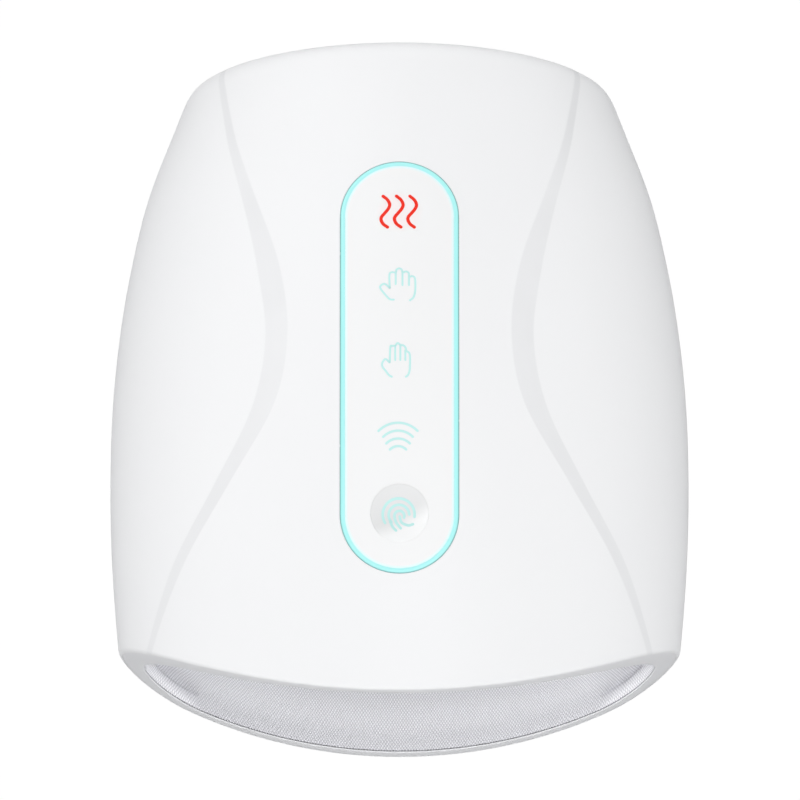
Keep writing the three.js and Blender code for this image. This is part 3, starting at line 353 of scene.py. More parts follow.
rim_steps = 7
seat_step = 0.1
outside_rim = [(rim_lip, 0.0)] + quarter_round(rim_round, rim_steps)
inside_rim = [(rim_lip, bezel_seat)]
inside_rim += [(shell_wall, bezel_seat + seat_step * k) for k in range(rim_steps)]
end_rows = 26
end_shares = np.sin(np.pi / 2 * np.arange(1, end_rows + 1) / (end_rows + 1)) ** (2 / back_plan_power)
straight_end = back_y - back_round


def rim_points(section, count, inset):
    """Rows round the front rim of one skin, and y of the last: the lip's face and the rounding
    of its edge on the outside, and the step behind the bezel on the inside."""
    rows = []
    for rim_inset, depth in (inside_rim if inset else outside_rim):
        y = meet_front(section, count, depth, rim_inset)
        rows.append(section_points(section, y, rim_inset))
    return np.array(rows), y


def rows_between(start, end, count, first=0):
    """y rows from one line across the body to another, evenly stepped along each column."""
    steps = (np.arange(first, count + 1) / count)[:, None]
    return start + (end - start) * steps


def back_rows(start, count, inset, first=0):
    """y rows from a line across the body to its back, closer where the back closes."""
    end = straight_end + (back_round - inset) * end_shares
    straight = rows_between(start, straight_end, count, first)
    return np.concatenate([straight, end[:, None] * np.ones(len(start))])


def numbered(rows, columns, first=0, closed=False):
    """The point numbers of a grid. A closed one comes back to its first column."""
    number = first + np.arange(rows * columns).reshape(rows, columns)
    return np.concatenate([number, number[:, :1]], 1) if closed else number


def grid_faces(index):
    """Quads between the rows and columns of a grid of point numbers."""
    return np.stack([index[:-1, :-1], index[:-1, 1:], index[1:, 1:], index[1:, :-1]], -1).reshape(-1, 4)


def pole_fan(row):
    """Triangles from a grid's last row to its pole, which is the next point after the row."""
    return np.stack([row[1:], np.full(len(row) - 1, row[-1] + 1), row[:-1]], -1)


def close_shell(outside, inside, quads, fan=None):
    """A closed body from two skins with like faces, joined by walls along their open edges.
    Points that no face uses are dropped."""
    count = len(outside)
    fan = np.zeros((0, 3), int) if fan is None else fan
    sides = [(quads, (0, 1)), (quads, (1, 2)), (quads, (2, 3)), (quads, (3, 0))]
    sides += [(fan, (0, 1)), (fan, (1, 2)), (fan, (2, 0))]
    edges = np.concatenate([faces[:, pair] for faces, pair in sides])
    key = edges[:, 0] * count + edges[:, 1]
    reverse = edges[:, 1] * count + edges[:, 0]
    rim = edges[~np.isin(key, reverse)]
    walls = np.stack([rim[:, 1], rim[:, 0], rim[:, 0] + count, rim[:, 1] + count], -1)
    all_quads = np.concatenate([quads, quads[:, ::-1] + count, walls])
    all_fans = np.concatenate([fan, fan[:, ::-1] + count])
    points = np.concatenate([outside, inside])
    used = np.unique(np.concatenate([all_quads.ravel(), all_fans.ravel()]))
    number = np.full(len(points), -1)
    number[used] = np.arange(len(used))
    return points[used], number[all_quads].tolist() + number[all_fans].tolist()


sharp_angle = np.radians(40)


def signed_volume(points, faces):
    """Volume inside a closed mesh, negative if its faces point inwards: each face is split
    into triangles, and each triangle spans a tetrahedron with the origin."""
    total = 0.0
    for size in {len(face) for face in faces}:
        corners = points[np.array([face for face in faces if len(face) == size])]
        for k in range(1, size - 1):
            cross = np.cross(corners[:, k], corners[:, k + 1])
            total += np.einsum("ij,ij->", corners[:, 0], cross) / 6
    return total


def outward_mesh(name, points, faces):
    """A mesh from points in mm, with its faces turned outwards."""
    if signed_volume(points, faces) < 0:
        faces = [face[::-1] for face in faces]
    mesh = bpy.data.meshes.new(name)
    mesh.from_pydata((points * mm).tolist(), [], faces)
    return mesh


def make(name, points, faces, material, slot, replaced=(), body="housing", uv=None):
    """A piece from points in mm, shaded smooth up to an angle. It rides on a body and stands
    for the nodes named. Its slot is not used."""
    mesh = outward_mesh(name, points, faces)
    if uv is not None:
        corners = np.empty(len(mesh.loops), int)
        mesh.loops.foreach_get("vertex_index", corners)
        mesh.uv_layers.new(name="cloth").data.foreach_set("uv", uv[corners].ravel())
    mesh.polygons.foreach_set("use_smooth", np.ones(len(mesh.polygons), bool))
    mesh.set_sharp_from_angle(angle=sharp_angle)
    mesh.materials.append(material)
    piece = add_object(name, mesh)
    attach(piece, body)
    if replaced:
        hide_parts(*replaced)
    return piece


def cut(piece, points, faces):
    """Cuts a closed body out of a piece and keeps the result as the piece's mesh."""
    cutter = add_object("cutter", outward_mesh("cutter", points, faces))
    boolean = piece.modifiers.new("cut", "BOOLEAN")
    boolean.operation = "DIFFERENCE"
    boolean.solver = "EXACT"
    boolean.object = cutter
    bpy.context.view_layer.update()
    shape = bpy.data.meshes.new_from_object(piece.evaluated_get(bpy.context.evaluated_depsgraph_get()))
    shape.set_sharp_from_angle(angle=sharp_angle)
    piece.modifiers.clear()
    name = piece.data.name
    piece.data.name = "blank"
    piece.data = shape
    shape.name = name
    bpy.data.objects.remove(cutter)


def capped(*rings):
    """A closed body through rings of as many points, its first and last ring filled."""
    points = np.array(rings)
    number = numbered(*points.shape[:2], closed=True)
    ends = [number[0, -2::-1].tolist(), number[-1, :-1].tolist()]
    return points.reshape(-1, 3), grid_faces(number).tolist() + ends


def circle(count):
    """Angles of even steps round a circle."""
    return 2 * np.pi * np.arange(count) / count


def disc_column(x, y, radius, low, high, count=48):
    """An upright round bar."""
    across = radius * np.cos(circle(count)), radius * np.sin(circle(count))
    return capped(*(np.column_stack([x + across[0], y + across[1], np.full(count, z)]) for z in (low, high)))


def own_place(tree):
    """A point's place in its object's own coordinates."""
    return add_node(tree, "TexCoord", {})["Object"]


def painted(tree, name):
    """The number that a piece keeps for its points under a name."""
    return add_node(tree, "Attribute", {}, attribute_name=name)["Fac"]


def noise(tree, place, scale, detail, **more):
    """The outputs of a noise over a place, scale being its grains per unit."""
    return add_node(tree, "TexNoise", {"Vector": place, "Scale": scale, "Detail": detail, **more})


def blended(tree, share, first, second, kind="RGBA"):
    """A colour or number between two: the first at a share of 0, the second at 1."""
    return add_node(tree, "Mix", {"Factor": share, "A": first, "B": second}, data_type=kind)["Result"]


def bumps(tree, height, distance, strength, **settings):
    """A normal bent as a height over the surface would bend it."""
    inputs = {"Height": height, "Distance": distance, "Strength": strength}
    return add_node(tree, "Bump", inputs, **settings)["Normal"]


def skin_effect(name, inputs):
    """A new node group that puts out a surface's colour, roughness and normal: its tree, its
    input's sockets and its output node."""
    group = bpy.data.node_groups.new(name, "ShaderNodeTree")
    outputs = {"Colour": "Color", "Roughness": "Float", "Normal": "Vector"}
    for way, sockets in (("INPUT", inputs), ("OUTPUT", outputs)):
        for socket, kind in sockets.items():
            group.interface.new_socket(socket, in_out=way, socket_type=f"NodeSocket{kind}")
    return group, group.nodes.new("NodeGroupInput").outputs, group.nodes.new("NodeGroupOutput")


def skinned(name, group, looks, settings):
    """A material with a skin effect, from the effect's inputs and the shader's own settings."""
    material, tree, principled = shader(name)
    skin = tree.nodes.new("ShaderNodeGroup")
    skin.node_tree = group
    feed(tree, skin, looks)
    given = skin.outputs
    feed(tree, principled, {
        "Base Color": given["Colour"], "Roughness": given["Roughness"], "Normal": given["Normal"],
        **settings,
    })
    return material, tree, skin


# Moulded plastic: a fine orange-peel relief, a slow drift of its gloss, and a faint cloudiness
# in its colour, all as noise over the object's own coordinates.
moulded, given, outlet = skin_effect("moulded_skin", {
    "Colour": "Color", "Cloud colour": "Color", "Roughness": "Float", "Grain per metre": "Float",
    "Relief": "Float",
})
place = own_place(moulded)
cloud = noise(moulded, place, scale=22.0, detail=3.0)["Fac"]
grain = noise(moulded, place, scale=given["Grain per metre"], detail=2.0, Roughness=0.55)["Fac"]
drift = remapped(moulded, cloud, 0.0, 1.0, low=-0.04, high=0.04)
feed(moulded, outlet, {
    "Colour": blended(moulded, cloud, given["Colour"], given["Cloud colour"]),
    "Roughness": worked_out(moulded, "ADD", drift, given["Roughness"]),
    "Normal": bumps(moulded, grain, distance=0.0001, strength=given["Relief"]),
})
plastic_gleam = 0.14


def moulded_plastic(name, colour, cloud_colour, roughness, grain_per_metre=1500.0, relief=0.04, clear=0.0):
    """A plastic material whose colour, gloss and relief come from the moulded skin effect."""
    looks = {
        "Colour": colour, "Cloud colour": cloud_colour, "Roughness": roughness,
        "Grain per metre": grain_per_metre, "Relief": relief,
    }
    return skinned(name, moulded, looks, {"Specular IOR Level": plastic_gleam, "Transmission Weight": clear})


def paint(piece, name, values):
    """Keeps one number for each point of a piece, for its material to read."""
    piece.data.attributes.new(name, "FLOAT", "POINT").data.foreach_set("value", values)


def facet_share(x, y):
    """How far a point of the dome lies on the sloping facet: 1 between its two edges and 0
    outside them, with a short ramp at each."""
    _, _, _, outer, inner, _ = arch(y)
    inside = np.minimum(outer - np.abs(x), np.abs(x) - inner)
    return np.clip(0.5 + inside / facet_edge_round, 0, 1)


# The facet is painted a little greyer than the rest, as painted shade for its steeper slope.
shell_colour = (0.88, 0.885, 0.893)
facet_shade_colour = (0.755, 0.76, 0.772)
shell_white, tree, skin = moulded_plastic("shell_white", shell_colour, (0.865, 0.87, 0.882), roughness=0.42)
feed(tree, skin, {"Colour": blended(tree, painted(tree, "facet"), shell_colour, facet_shade_colour)})
near_rows, opening_rows, far_rows = 40, 62, 26


def dome_skin(inset):
    """Three blocks of the dome's points: from the rim to the panel opening's near line, the
    rows beside the opening, and from its far line to the back, and the pole at the back."""
    count = len(roof_zone)
    rim, start = rim_points(roof_section, count, inset)
    across = np.abs(roof_section(np.full(count, near_centre_y), inset)[0])
    bow = np.sqrt(panel_opening**2 - np.minimum(across, panel_opening) ** 2)
    near, far = near_centre_y - bow, far_centre_y + bow
    stretches = (
        rows_between(start, near, near_rows, 1), rows_between(near, far, opening_rows)[1:-1],
        back_rows(far, far_rows, inset),
    )
    front, middle, back = (section_points(roof_section, y, inset) for y in stretches)
    pole = np.array([[0, back_y - inset, seam_height + seam_gap]])
    return np.concatenate([rim, front]), middle, back, pole


def dome_shell():
    """The dome's outer and inner skin joined to a closed body with the panel's opening."""
    skins = []
    for inset in (0.0, shell_wall):
        blocks = dome_skin(inset)
        skins.append(np.concatenate([block.reshape(-1, 3) for block in blocks]))
    columns = len(roof_zone)
    front = numbered(len(blocks[0]), columns)
    middle = numbered(len(blocks[1]), columns, front.size)
    back = numbered(len(blocks[2]), columns, front.size + middle.size)
    between = np.concatenate([front[-1:], middle, back[:1]])
    quads = np.concatenate([
        grid_faces(front), grid_faces(back),
        grid_faces(between[:, :opening_start + 1]), grid_faces(between[:, opening_end:]),
    ])
    return close_shell(*skins, quads, pole_fan(back[-1]))


top_shell = make("dome", *dome_shell(), shell_white, "shell_white", ["top_shell"])

# A slot with round ends in the back lets the charging plug in.
socket_half_width = 4.45
socket_half_height = 1.6
socket_z = 36.5
slot_room = 0.3


def slot_outline(y):
    """A lying slot's outline at y: half circles round two centres on one level."""
    turn = np.linspace(-np.pi / 2, np.pi / 2, 13)
    radius = socket_half_height + slot_room
    arc_x = socket_half_width - socket_half_height + radius * np.cos(turn)
    x = np.concatenate([arc_x, -arc_x])
    z = socket_z + radius * np.concatenate([np.sin(turn), -np.sin(turn)])
    return np.stack([x, np.full(len(x), y), z], -1)


cut(top_shell, *capped(slot_outline(back_y - 2 * shell_wall), slot_outline(back_y + shell_wall)))
dome_points = np.empty(3 * len(top_shell.data.vertices))
top_shell.data.vertices.foreach_get("co", dome_points)
# The facet's share sets where the painted shade lies.
paint(top_shell, "facet", facet_share(dome_points[0::3] / mm, dome_points[1::3] / mm))

# Lower shell
# A shallow tub of the same white plastic under a hairline groove. Its sides turn in as quarter
# rounds to a flat sole with seats for the feet and sunk holes for the screws.
foot_spots = {
    "foot_front_left": (-50, -74), "foot_front_right": (50, -74),
    "foot_back_left": (-38, 88), "foot_back_right": (38, 88),
}
screw_spots = [(-57, -56), (-57, 12), (57, -56), (57, 12), (-52, 80), (52, 80)]
foot_seat_radius = 7.3
foot_seat_depth = 1.1
screw_seat_radius = 3.0
screw_seat_depth = 2.4

base_zone, base_share, base_side = mirrored_columns((edge_columns, 18, 26))
base_rows = 70


def base_section(y, inset):
    """x and height of every column of the tub at y: the seam's rounded edge, the quarter-round
    corner by its angle, and the sole by even steps."""
    half, _, drop, _, _, plan = arch(y, inset)
    w = base_share
    low = np.arcsin(np.clip((seam_gap + seam_round) / drop, 0, 1))
    angle = low + (np.pi / 2 - low) * w
    x = [
        half - seam_round * (1 - np.sin(w * np.pi / 2)) * plan - drop * (1 - np.cos(low)) * w,
        half - drop + drop * np.cos(angle),
        (half - drop) * (1 - w),
    ]
    z = [
        seam_height - seam_gap - seam_round * (1 - np.cos(w * np.pi / 2)) + 0 * drop,
        seam_height - drop * np.sin(angle),
        seam_height - drop + 0 * w,
    ]
    return base_side * by_zone(base_zone, x), by_zone(base_zone, z)


def base_shell_form():
    """The tub's outer and inner skin joined to a closed body, with a pole at the back."""
    count = len(base_zone)
    skins = []
    for inset in (0.0, shell_wall):
        rim, start = rim_points(base_section, count, inset)
        y = back_rows(start, base_rows, inset, 1)
        rows = np.concatenate([rim, section_points(base_section, y, inset)])
        pole = [[0, back_y - inset, seam_height - seam_gap]]
        skins.append(np.concatenate([rows.reshape(-1, 3), pole]))
    number = numbered(len(rows), count)
    return close_shell(*skins, grid_faces(number), pole_fan(number[-1]))


base_shell = make("tub", *base_shell_form(), shell_white, "shell_white", ["base_shell"])
for x, y in foot_spots.values():
    cut(base_shell, *disc_column(x, y, foot_seat_radius, 0, foot_height + foot_seat_depth))
for x, y in screw_spots:
    cut(base_shell, *disc_column(x, y, screw_seat_radius, 0, foot_height + screw_seat_depth, 32))

# Mouth bezel
# A white ring set into the shells' rim. Its face follows the curved front from the rim to the
# mouth's rounded edge, and its short lip covers the front of the fabric sleeve.
mouth_half = 77.48
mouth_top = 74.0
mouth_bottom = 8.6
mouth_widest = 27
bezel_inset = 1.08
bezel_edge = 0.12
mouth_round = 0.3
bezel_lip = 0.4
bezel_depth = 6
sleeve_room = 1.8
loop_roof, loop_corner, loop_sole = 150, 36, 36


# A section's points run against the clock from the right: over the roof, round the left
# corner, along the sole and round the right corner.
loop_counts = (loop_roof, loop_corner, loop_sole, loop_corner)
loop_zone = np.concatenate([np.full(n, k) for k, n in enumerate(loop_counts)])
loop_share = np.concatenate([np.arange(n) / n for n in loop_counts])


def loop_x(half, drop):
    """x round a section: half times the cosine over the roof, corners of radius drop."""
    w = loop_share
    return by_zone(loop_zone, [
        half * np.cos(np.pi * w),
        -(half - drop) - drop * np.cos(np.pi / 2 * w),
        (half - drop) * (2 * w - 1),
        (half - drop) + drop * np.sin(np.pi / 2 * w),
    ])


def loop_z(widest, rise, drop, power):
    """Height round a section: a superellipse roof over the widest line, and the corners and
    the sole below it."""
    w = loop_share
    return by_zone(loop_zone, [
        widest + rise * np.sin(np.pi * w) ** (2 / power),
        widest - drop * np.sin(np.pi / 2 * w),
        widest - drop + 0 * w,
        widest - drop * np.cos(np.pi / 2 * w),
    ])


def rim_section(y, inset):
    """x and height round the shells' section at y."""
    form = arch(y, inset)
    half, rise, drop = form[:3]
    x = loop_x(half, drop)
    return x, np.where(loop_zone == 0, roof(form, x), loop_z(seam_height, rise, drop, arch_power))


def rim_loop(inset, depth):
    """A ring inside the shells' outer face, a given depth behind the front."""
    y = meet_front(rim_section, len(loop_zone), depth, inset)
    return section_points(rim_section, y, inset)


def mouth_loop(room, depth):
    """The mouth's outline with some room round it, a given depth behind the front."""
    drop = mouth_widest - mouth_bottom + room
    x = loop_x(mouth_half + room, drop)
    z = loop_z(mouth_widest, mouth_top - mouth_widest + room, drop, arch_power)
    return np.stack([x, front_face(x, depth), z], -1)


def torus(rings):
    """A closed body through rings of as many points, the last joined on to the first."""
    points = np.array(rings)
    number = numbered(*points.shape[:2], closed=True)
    return points.reshape(-1, 3), grid_faces(np.concatenate([number, number[:1]])).tolist()


def bezel_form():
    """Loops carried round the ring's profile, from its back outside edge over the face."""
    outside = [rim_loop(bezel_inset, bezel_depth)]
    outside += [rim_loop(bezel_inset + inset, depth) for depth, inset in quarter_round(bezel_edge, 4)]
    inside = [mouth_loop(room, depth) for room, depth in quarter_round(mouth_round, 8)]
    face = [outside[-1] + (inside[0] - outside[-1]) * share for share in (0.25, 0.5, 0.75)]
    for ring in face:
        ring[:, 1] = front_face(ring[:, 0], 0)
    lip = [
        mouth_loop(0, bezel_lip), mouth_loop(sleeve_room, bezel_lip), mouth_loop(sleeve_room, bezel_depth),
    ]
    return torus(outside + face + inside + lip)


# Its white is a little greyer than the shells', as painted shade on its upright face.
bezel_white = moulded_plastic("bezel_white", (0.83, 0.835, 0.85), (0.81, 0.815, 0.835), roughness=0.3)[0]
make("bezel", *bezel_form(), bezel_white, "bezel_white", ["mouth_bezel"])

# Fabric sleeve
# A grey woven cloth sleeve lines the hand space and is closed at the back. It is a little over
# a millimetre thick, and its front edge is tucked behind the bezel's lip.
sleeve_length = 150
sleeve_wall = 1.2
sleeve_start = 0.75
hand_top = 54
hand_bottom = 22.5
hand_widest = 36
hand_arch_power = 2.4
hand_back_round = 14
hand_back_power = 2.6
front_depth = 40
front_crowding = 1.5
front_sections, middle_sections, back_sections = 64, 40, 18
throat_table = [(0, 0), (0.04, 0), (0.15, 0.45), (0.27, 0.83), (0.4, 1), (1, 1)]
hand_width_table = [
    (0, 1), (0.05, 1), (0.15, 0.972), (0.27, 0.93), (0.42, 0.9), (0.6, 0.875), (0.8, 0.83), (1, 0.75),
]


# At the two lower corners the cloth's rolled front edge stands in, with a fold behind it where
# the side wall's cloth goes under the palm cushion. Both fade out towards the sole and the roof.
roll_table = [
    (0, 0), (0.75, 0), (1.8, 0.9), (3.2, 1.4), (4.3, 1.2), (5.4, -0.5), (7, -0.85), (12, -0.4), (25, 0),
]
corner_fade_table = [(-180, 0), (-50, 0), (-25, 0.5), (-5, 1), (55, 1), (72, 0.6), (88, 0), (90, 0)]


def corner_roll(depth):
    """How far the cloth stands in from its plain section, by its depth, faded by the angle
    round the corner from the widest line down."""
    w = loop_share
    angle = by_zone(loop_zone, [-180 * np.minimum(w, 1 - w), 90 * w, 90 + 0 * w, 90 * (1 - w)])
    return along(roll_table, depth) * along(corner_fade_table, angle)


def along_throat(throat, at_mouth, in_hand_space):
    """A size that changes along the throat from the mouth's to the hand space's."""
    return at_mouth + (in_hand_space - at_mouth) * throat


def sleeve_section(depth, room):
    """One closed section of the sleeve at a depth, with some room round it. The mouth's
    outline turns into the hand's lower and flatter one along the throat."""
    place = depth / sleeve_length
    throat = along(throat_table, place)
    t = np.clip((depth - (sleeve_length - hand_back_round)) / (hand_back_round + room), 0, 1)
    closing = (1 - t**hand_back_power) ** (1 / hand_back_power)
    middle = along_throat(throat, mouth_widest, hand_widest)
    top = along_throat(throat, mouth_top, hand_top) + room
    bottom = along_throat(throat, mouth_bottom, hand_bottom) - room
    half = (mouth_half * along(hand_width_table, place) + room) * closing
    drop = (middle - bottom) * closing
    x = loop_x(half, np.minimum(drop, half))
    z = loop_z(middle, (top - middle) * closing, drop, along_throat(throat, arch_power, hand_arch_power))
    sag = front_face(x, 0) - front_y
    if room == 0:
        w = loop_share
        turn = np.pi / 2 * by_zone(loop_zone, [0 * w, w, 1 + 0 * w, 1 - w])
        x = x - np.sign(x) * corner_roll(depth) * np.cos(turn)
        z = z + corner_roll(depth) * np.sin(turn)
    return np.stack([x, front_y + depth + sag * (1 - throat), z], -1)


def sleeve_depths(room):
    """Depths of the sleeve's sections, close together at the front and round the back."""
    straight = sleeve_length - hand_back_round
    front = sleeve_start + (front_depth - sleeve_start) * np.linspace(0, 1, front_sections) ** front_crowding
    middle = front_depth + (straight - front_depth) * np.linspace(0, 1, middle_sections)[1:]
    angle = np.pi / 2 * np.arange(1, back_sections) / back_sections
    back = straight + (hand_back_round + room) * np.sin(angle) ** (2 / hand_back_power)
    return np.concatenate([front, middle, back])


def sleeve_form():
    """The sleeve's inner and outer face with their front edges joined, and its cloth lengths:
    round each section from the middle of the sole, and along that middle from the front. The
    cloth's own seam is in the middle of the roof."""
    uvs, skins, poles = [], [], []
    sole_middle = loop_roof - loop_roof // 2 + loop_corner + loop_sole // 2
    for room in (0.0, sleeve_wall):
        rows = np.array([sleeve_section(depth, room) for depth in sleeve_depths(room)])
        rows = np.roll(rows, -(loop_roof // 2), 1)
        rows = np.concatenate([rows, rows[:, :1]], 1)
        steps = np.linalg.norm(np.diff(rows, axis=1), axis=2)
        around = np.concatenate([np.zeros((len(rows), 1)), np.cumsum(steps, 1)], 1)
        around -= around[:, sole_middle:sole_middle + 1]
        forward = np.linalg.norm(np.diff(rows[:, sole_middle], axis=0), axis=1)
        length = np.concatenate([[0], np.cumsum(forward)])
        uvs.append(np.stack([around, length[:, None] + 0 * around], -1).reshape(-1, 2))
        skins.append(rows.reshape(-1, 3))
        poles.append([0, front_y + sleeve_length + room, hand_widest])
    points, uv = np.concatenate(skins + [poles]), np.concatenate(uvs)
    uv = np.concatenate([uv, [[0, uv[:, 1].max()]] * 2])
    inner = numbered(*rows.shape[:2])
    outer = inner + inner.size
    front = np.stack([inner[0, :-1], inner[0, 1:], outer[0, 1:], outer[0, :-1]], -1)
    quads = np.concatenate([grid_faces(inner[:, ::-1]), grid_faces(outer), front])
    pole = np.full(rows.shape[1] - 1, 2 * inner.size)
    fans = np.concatenate([
        np.stack([inner[-1, :-1], inner[-1, 1:], pole], -1),
        np.stack([outer[-1, 1:], outer[-1, :-1], pole + 1], -1),
    ])
    return points, quads.tolist() + fans.tolist(), uv


def yarn_ridges(tree, place, direction, pitch):
    """Ridges of the yarns that run one way: the sine's size of the distance across them."""
    across = add_node(tree, "VectorMath", {0: place, 1: (*direction, 0)}, operation="DOT_PRODUCT")["Value"]
    turn = worked_out(tree, "MULTIPLY", across, np.pi / pitch)
    return worked_out(tree, "ABSOLUTE", worked_out(tree, "SINE", turn))


def banded(tree, value, bands):
    """A colour by a value, even between bands of a value and its colour."""
    ramp_node = tree.nodes.new("ShaderNodeValToRGB")
    stops = ramp_node.color_ramp.elements
    for place, _ in bands[1:-1]:
        stops.new(place)
    for stop, (place, colour) in zip(stops, bands):
        stop.position = place
        stop.color = (*colour, 1)
    feed(tree, ramp_node, {"Fac": value})
    return ramp_node.outputs["Color"]


# The cloth is a fine twill. Its yarns cross at a slant, one way stronger than the other, with
# dark pinholes between them and a slow unevenness from the loom.
yarn_pitch = 0.73
yarn_ways = ((0.83, 0.56), (0.83, -0.56))
weaker_share = 0.85
yarn_bands = [(0.0, (0.58, 0.58, 0.615)), (0.6, (0.93, 0.93, 0.96))]
wobble_reach = (1.2, 1.2, 0.0)
cloth, tree, principled = shader("sleeve_cloth")
cloth_uv = add_node(tree, "UVMap", {}, uv_map="cloth")["UV"]
wobble = noise(tree, cloth_uv, scale=0.12, detail=1.0)["Color"]
shifted = {0: wobble, 1: wobble_reach, 2: cloth_uv}
yarn_place = add_node(tree, "VectorMath", shifted, operation="MULTIPLY_ADD")[0]
rising, falling = (yarn_ridges(tree, yarn_place, way, yarn_pitch) for way in yarn_ways)
weave = worked_out(tree, "MULTIPLY", rising, worked_out(tree, "MULTIPLY", falling, weaker_share))
# Painted light and shade: it is paler towards the mouth and darker deeper in, under the roof.
forward = add_node(tree, "SeparateXYZ", {0: cloth_uv})["Y"]
depth_light_and_shade = remapped(tree, forward, start=-2.0, end=20.0, low=1.14, high=0.96)
cloth_colour = add_node(
    tree, "VectorMath", {0: banded(tree, weave, yarn_bands), "Scale": depth_light_and_shade}, operation="SCALE")[0]
feed(tree, principled, {
    "Base Color": cloth_colour, "Normal": bumps(tree, weave, distance=0.00012, strength=0.6),
    "Roughness": 0.85, "Sheen Weight": 0.25, "Sheen Roughness": 0.5,
})
points, faces, uv = sleeve_form()
make("sleeve", points, faces, cloth, "liner_fabric", ["liner"], uv=uv)

# Light ring
# A clear cyan pill-shaped strip round the panel, lit from below. Its top is slightly domed and
# its sides go down through the shell.
ring_width = 1.45
ring_dome = 0.12
ring_steps = 13
panel_thickness = 2.6


def pill_path(half, arc_count=48, line_count=60):
    """Points round a pill about the panel's two centres: its far end and left side, and the
    same turned half round the middle."""
    angle = np.pi * np.arange(arc_count) / arc_count
    line = far_centre_y - (far_centre_y - near_centre_y) * np.arange(line_count) / line_count
    end = np.stack([half * np.cos(angle), far_centre_y + half * np.sin(angle)], -1)
    side = np.stack([np.full(line_count, -half), line], -1)
    first = np.concatenate([end, side])
    return np.concatenate([first, [0, far_centre_y + near_centre_y] - first])


def ring_form():
    """A domed profile carried round the pill, on the dome's surface, and each point's share of
    the way across it."""
    shares = np.linspace(0, 1, ring_steps)
    profile = [(ring_width * share, ring_dome * np.sin(np.pi * share)) for share in shares]
    profile += [(ring_width, -panel_thickness), (0, -panel_thickness)]
    rows = []
    for inset, lift in profile:
        x, y = pill_path(panel_half - inset).T
        rows.append(np.stack([x, y, dome_height(x, y) + lift], -1))
    across = np.repeat([inset / ring_width for inset, _ in profile], len(rows[0]))
    return *torus(rows), across


def glow(tree, principled, colour, roughness, strength):
    """Lets a surface both reflect and shine in one colour."""
    feed(tree, principled, {
        "Base Color": colour, "Roughness": roughness, "Specular IOR Level": 0.2,
        "Emission Color": colour, "Emission Strength": strength,
    })


# The strip is brightest over its lamp, a little outside its middle, and its outer edge is
# painted dark, as painted shadow in the gap where the clear plastic meets the shell.
ring_bands = [
    (0.0, (0.2, 0.44, 0.44)), (0.12, (0.27, 0.58, 0.58)), (0.24, (0.38, 0.81, 0.8)),
    (0.55, (0.39, 0.83, 0.82)), (0.8, (0.4, 0.82, 0.82)), (1.0, (0.46, 0.88, 0.88)),
]
ring_cyan, tree, principled = shader("ring_cyan")
glow(tree, principled, banded(tree, painted(tree, "across"), ring_bands), roughness=0.3, strength=0.1)
points, faces, across = ring_form()
paint(make("glow_ring", points, faces, ring_cyan, "ring_cyan", ["light_ring"]), "across", across)

# Control panel
# A white pill-shaped plate flush with the dome, lit softly along its edge by the ring. It has
# a round hole for the power button, on the same centre as its near end.
plate_half = 16.42
button_radius = 8.77
button_hole = 8.8
button_y = near_centre_y


def plate_form():
    """A polar block round the button's hole, out to the near end's arc and to a square behind
    it, and a straight block from there to the far end's arc."""
    arc, side, radial, length_rows = 56, 12, 14, 96
    reach = plate_half
    angle = np.pi + np.pi * np.arange(arc) / arc
    near = np.stack([reach * np.cos(angle), reach * np.sin(angle)], -1)
    right = np.stack([np.full(side, reach), reach * np.arange(side) / side], -1)
    across = reach * np.cos(np.pi * np.arange(arc + 1) / arc)
    top = np.stack([across, np.full(arc + 1, reach)], -1)
    left = np.stack([np.full(side - 1, -reach), reach * (1 - np.arange(1, side) / side)], -1)
    border = np.concatenate([near, right, top, left])
    turn = np.arctan2(border[:, 1], border[:, 0])
    hole = button_hole * np.stack([np.cos(turn), np.sin(turn)], -1)
    block = hole + (border - hole) * np.linspace(0, 1, radial + 1)[:, None, None]
    closed = numbered(*block.shape[:2], closed=True)
    top_row = closed[-1:, arc + side:2 * arc + side + 1]
    end = far_centre_y - button_y + np.sqrt(reach**2 - np.minimum(across**2, reach**2))
    steps = (np.arange(1, length_rows + 1) / length_rows)[:, None]
    straight = np.stack([across + 0 * steps, reach + (end - reach) * steps], -1)
    straight_number = numbered(length_rows, arc + 1, block[..., 0].size)
    x, y = np.concatenate([block.reshape(-1, 2), straight.reshape(-1, 2)]).T
    y = y + button_y
    height = dome_height(x, y)
    quads = np.concatenate([grid_faces(closed), grid_faces(np.concatenate([top_row, straight_number]))])
    return close_shell(*(np.stack([x, y, z], -1) for z in (height, height - panel_thickness)), quads)


def length_of(tree, vector):
    """A vector's length."""
    return add_node(tree, "VectorMath", {0: vector}, operation="LENGTH")["Value"]


# The ring's light spills onto the plate's edge. How much is left falls off with the distance to
# the edge, which is worked out from the nearest point on the line between the pill's centres.
panel_colour = (0.88, 0.885, 0.89)
panel_cloud_colour = (0.865, 0.87, 0.88)
glow_colour = (0.74, 0.99, 1.0)
glow_width = 1.0
glow_strength = 0.8
panel_white, tree, skin = moulded_plastic("panel_white", panel_colour, panel_cloud_colour, roughness=0.42)
spot = own_place(tree)
axes = add_node(tree, "SeparateXYZ", {0: spot})
line_ends = {"Min": near_centre_y * mm, "Max": far_centre_y * mm}
nearest = add_node(tree, "Clamp", {"Value": axes["Y"], **line_ends})[0]
past_end = worked_out(tree, "SUBTRACT", axes["Y"], nearest)
from_line = length_of(tree, add_node(tree, "CombineXYZ", {"X": axes["X"], "Y": past_end})[0])
spill_start, spill_end = (plate_half - glow_width) * mm, plate_half * mm
spill = remapped(tree, from_line, spill_start, spill_end, 0.0, glow_strength, "SMOOTHSTEP")
spill_tint = blended(tree, spill, panel_colour, glow_colour)
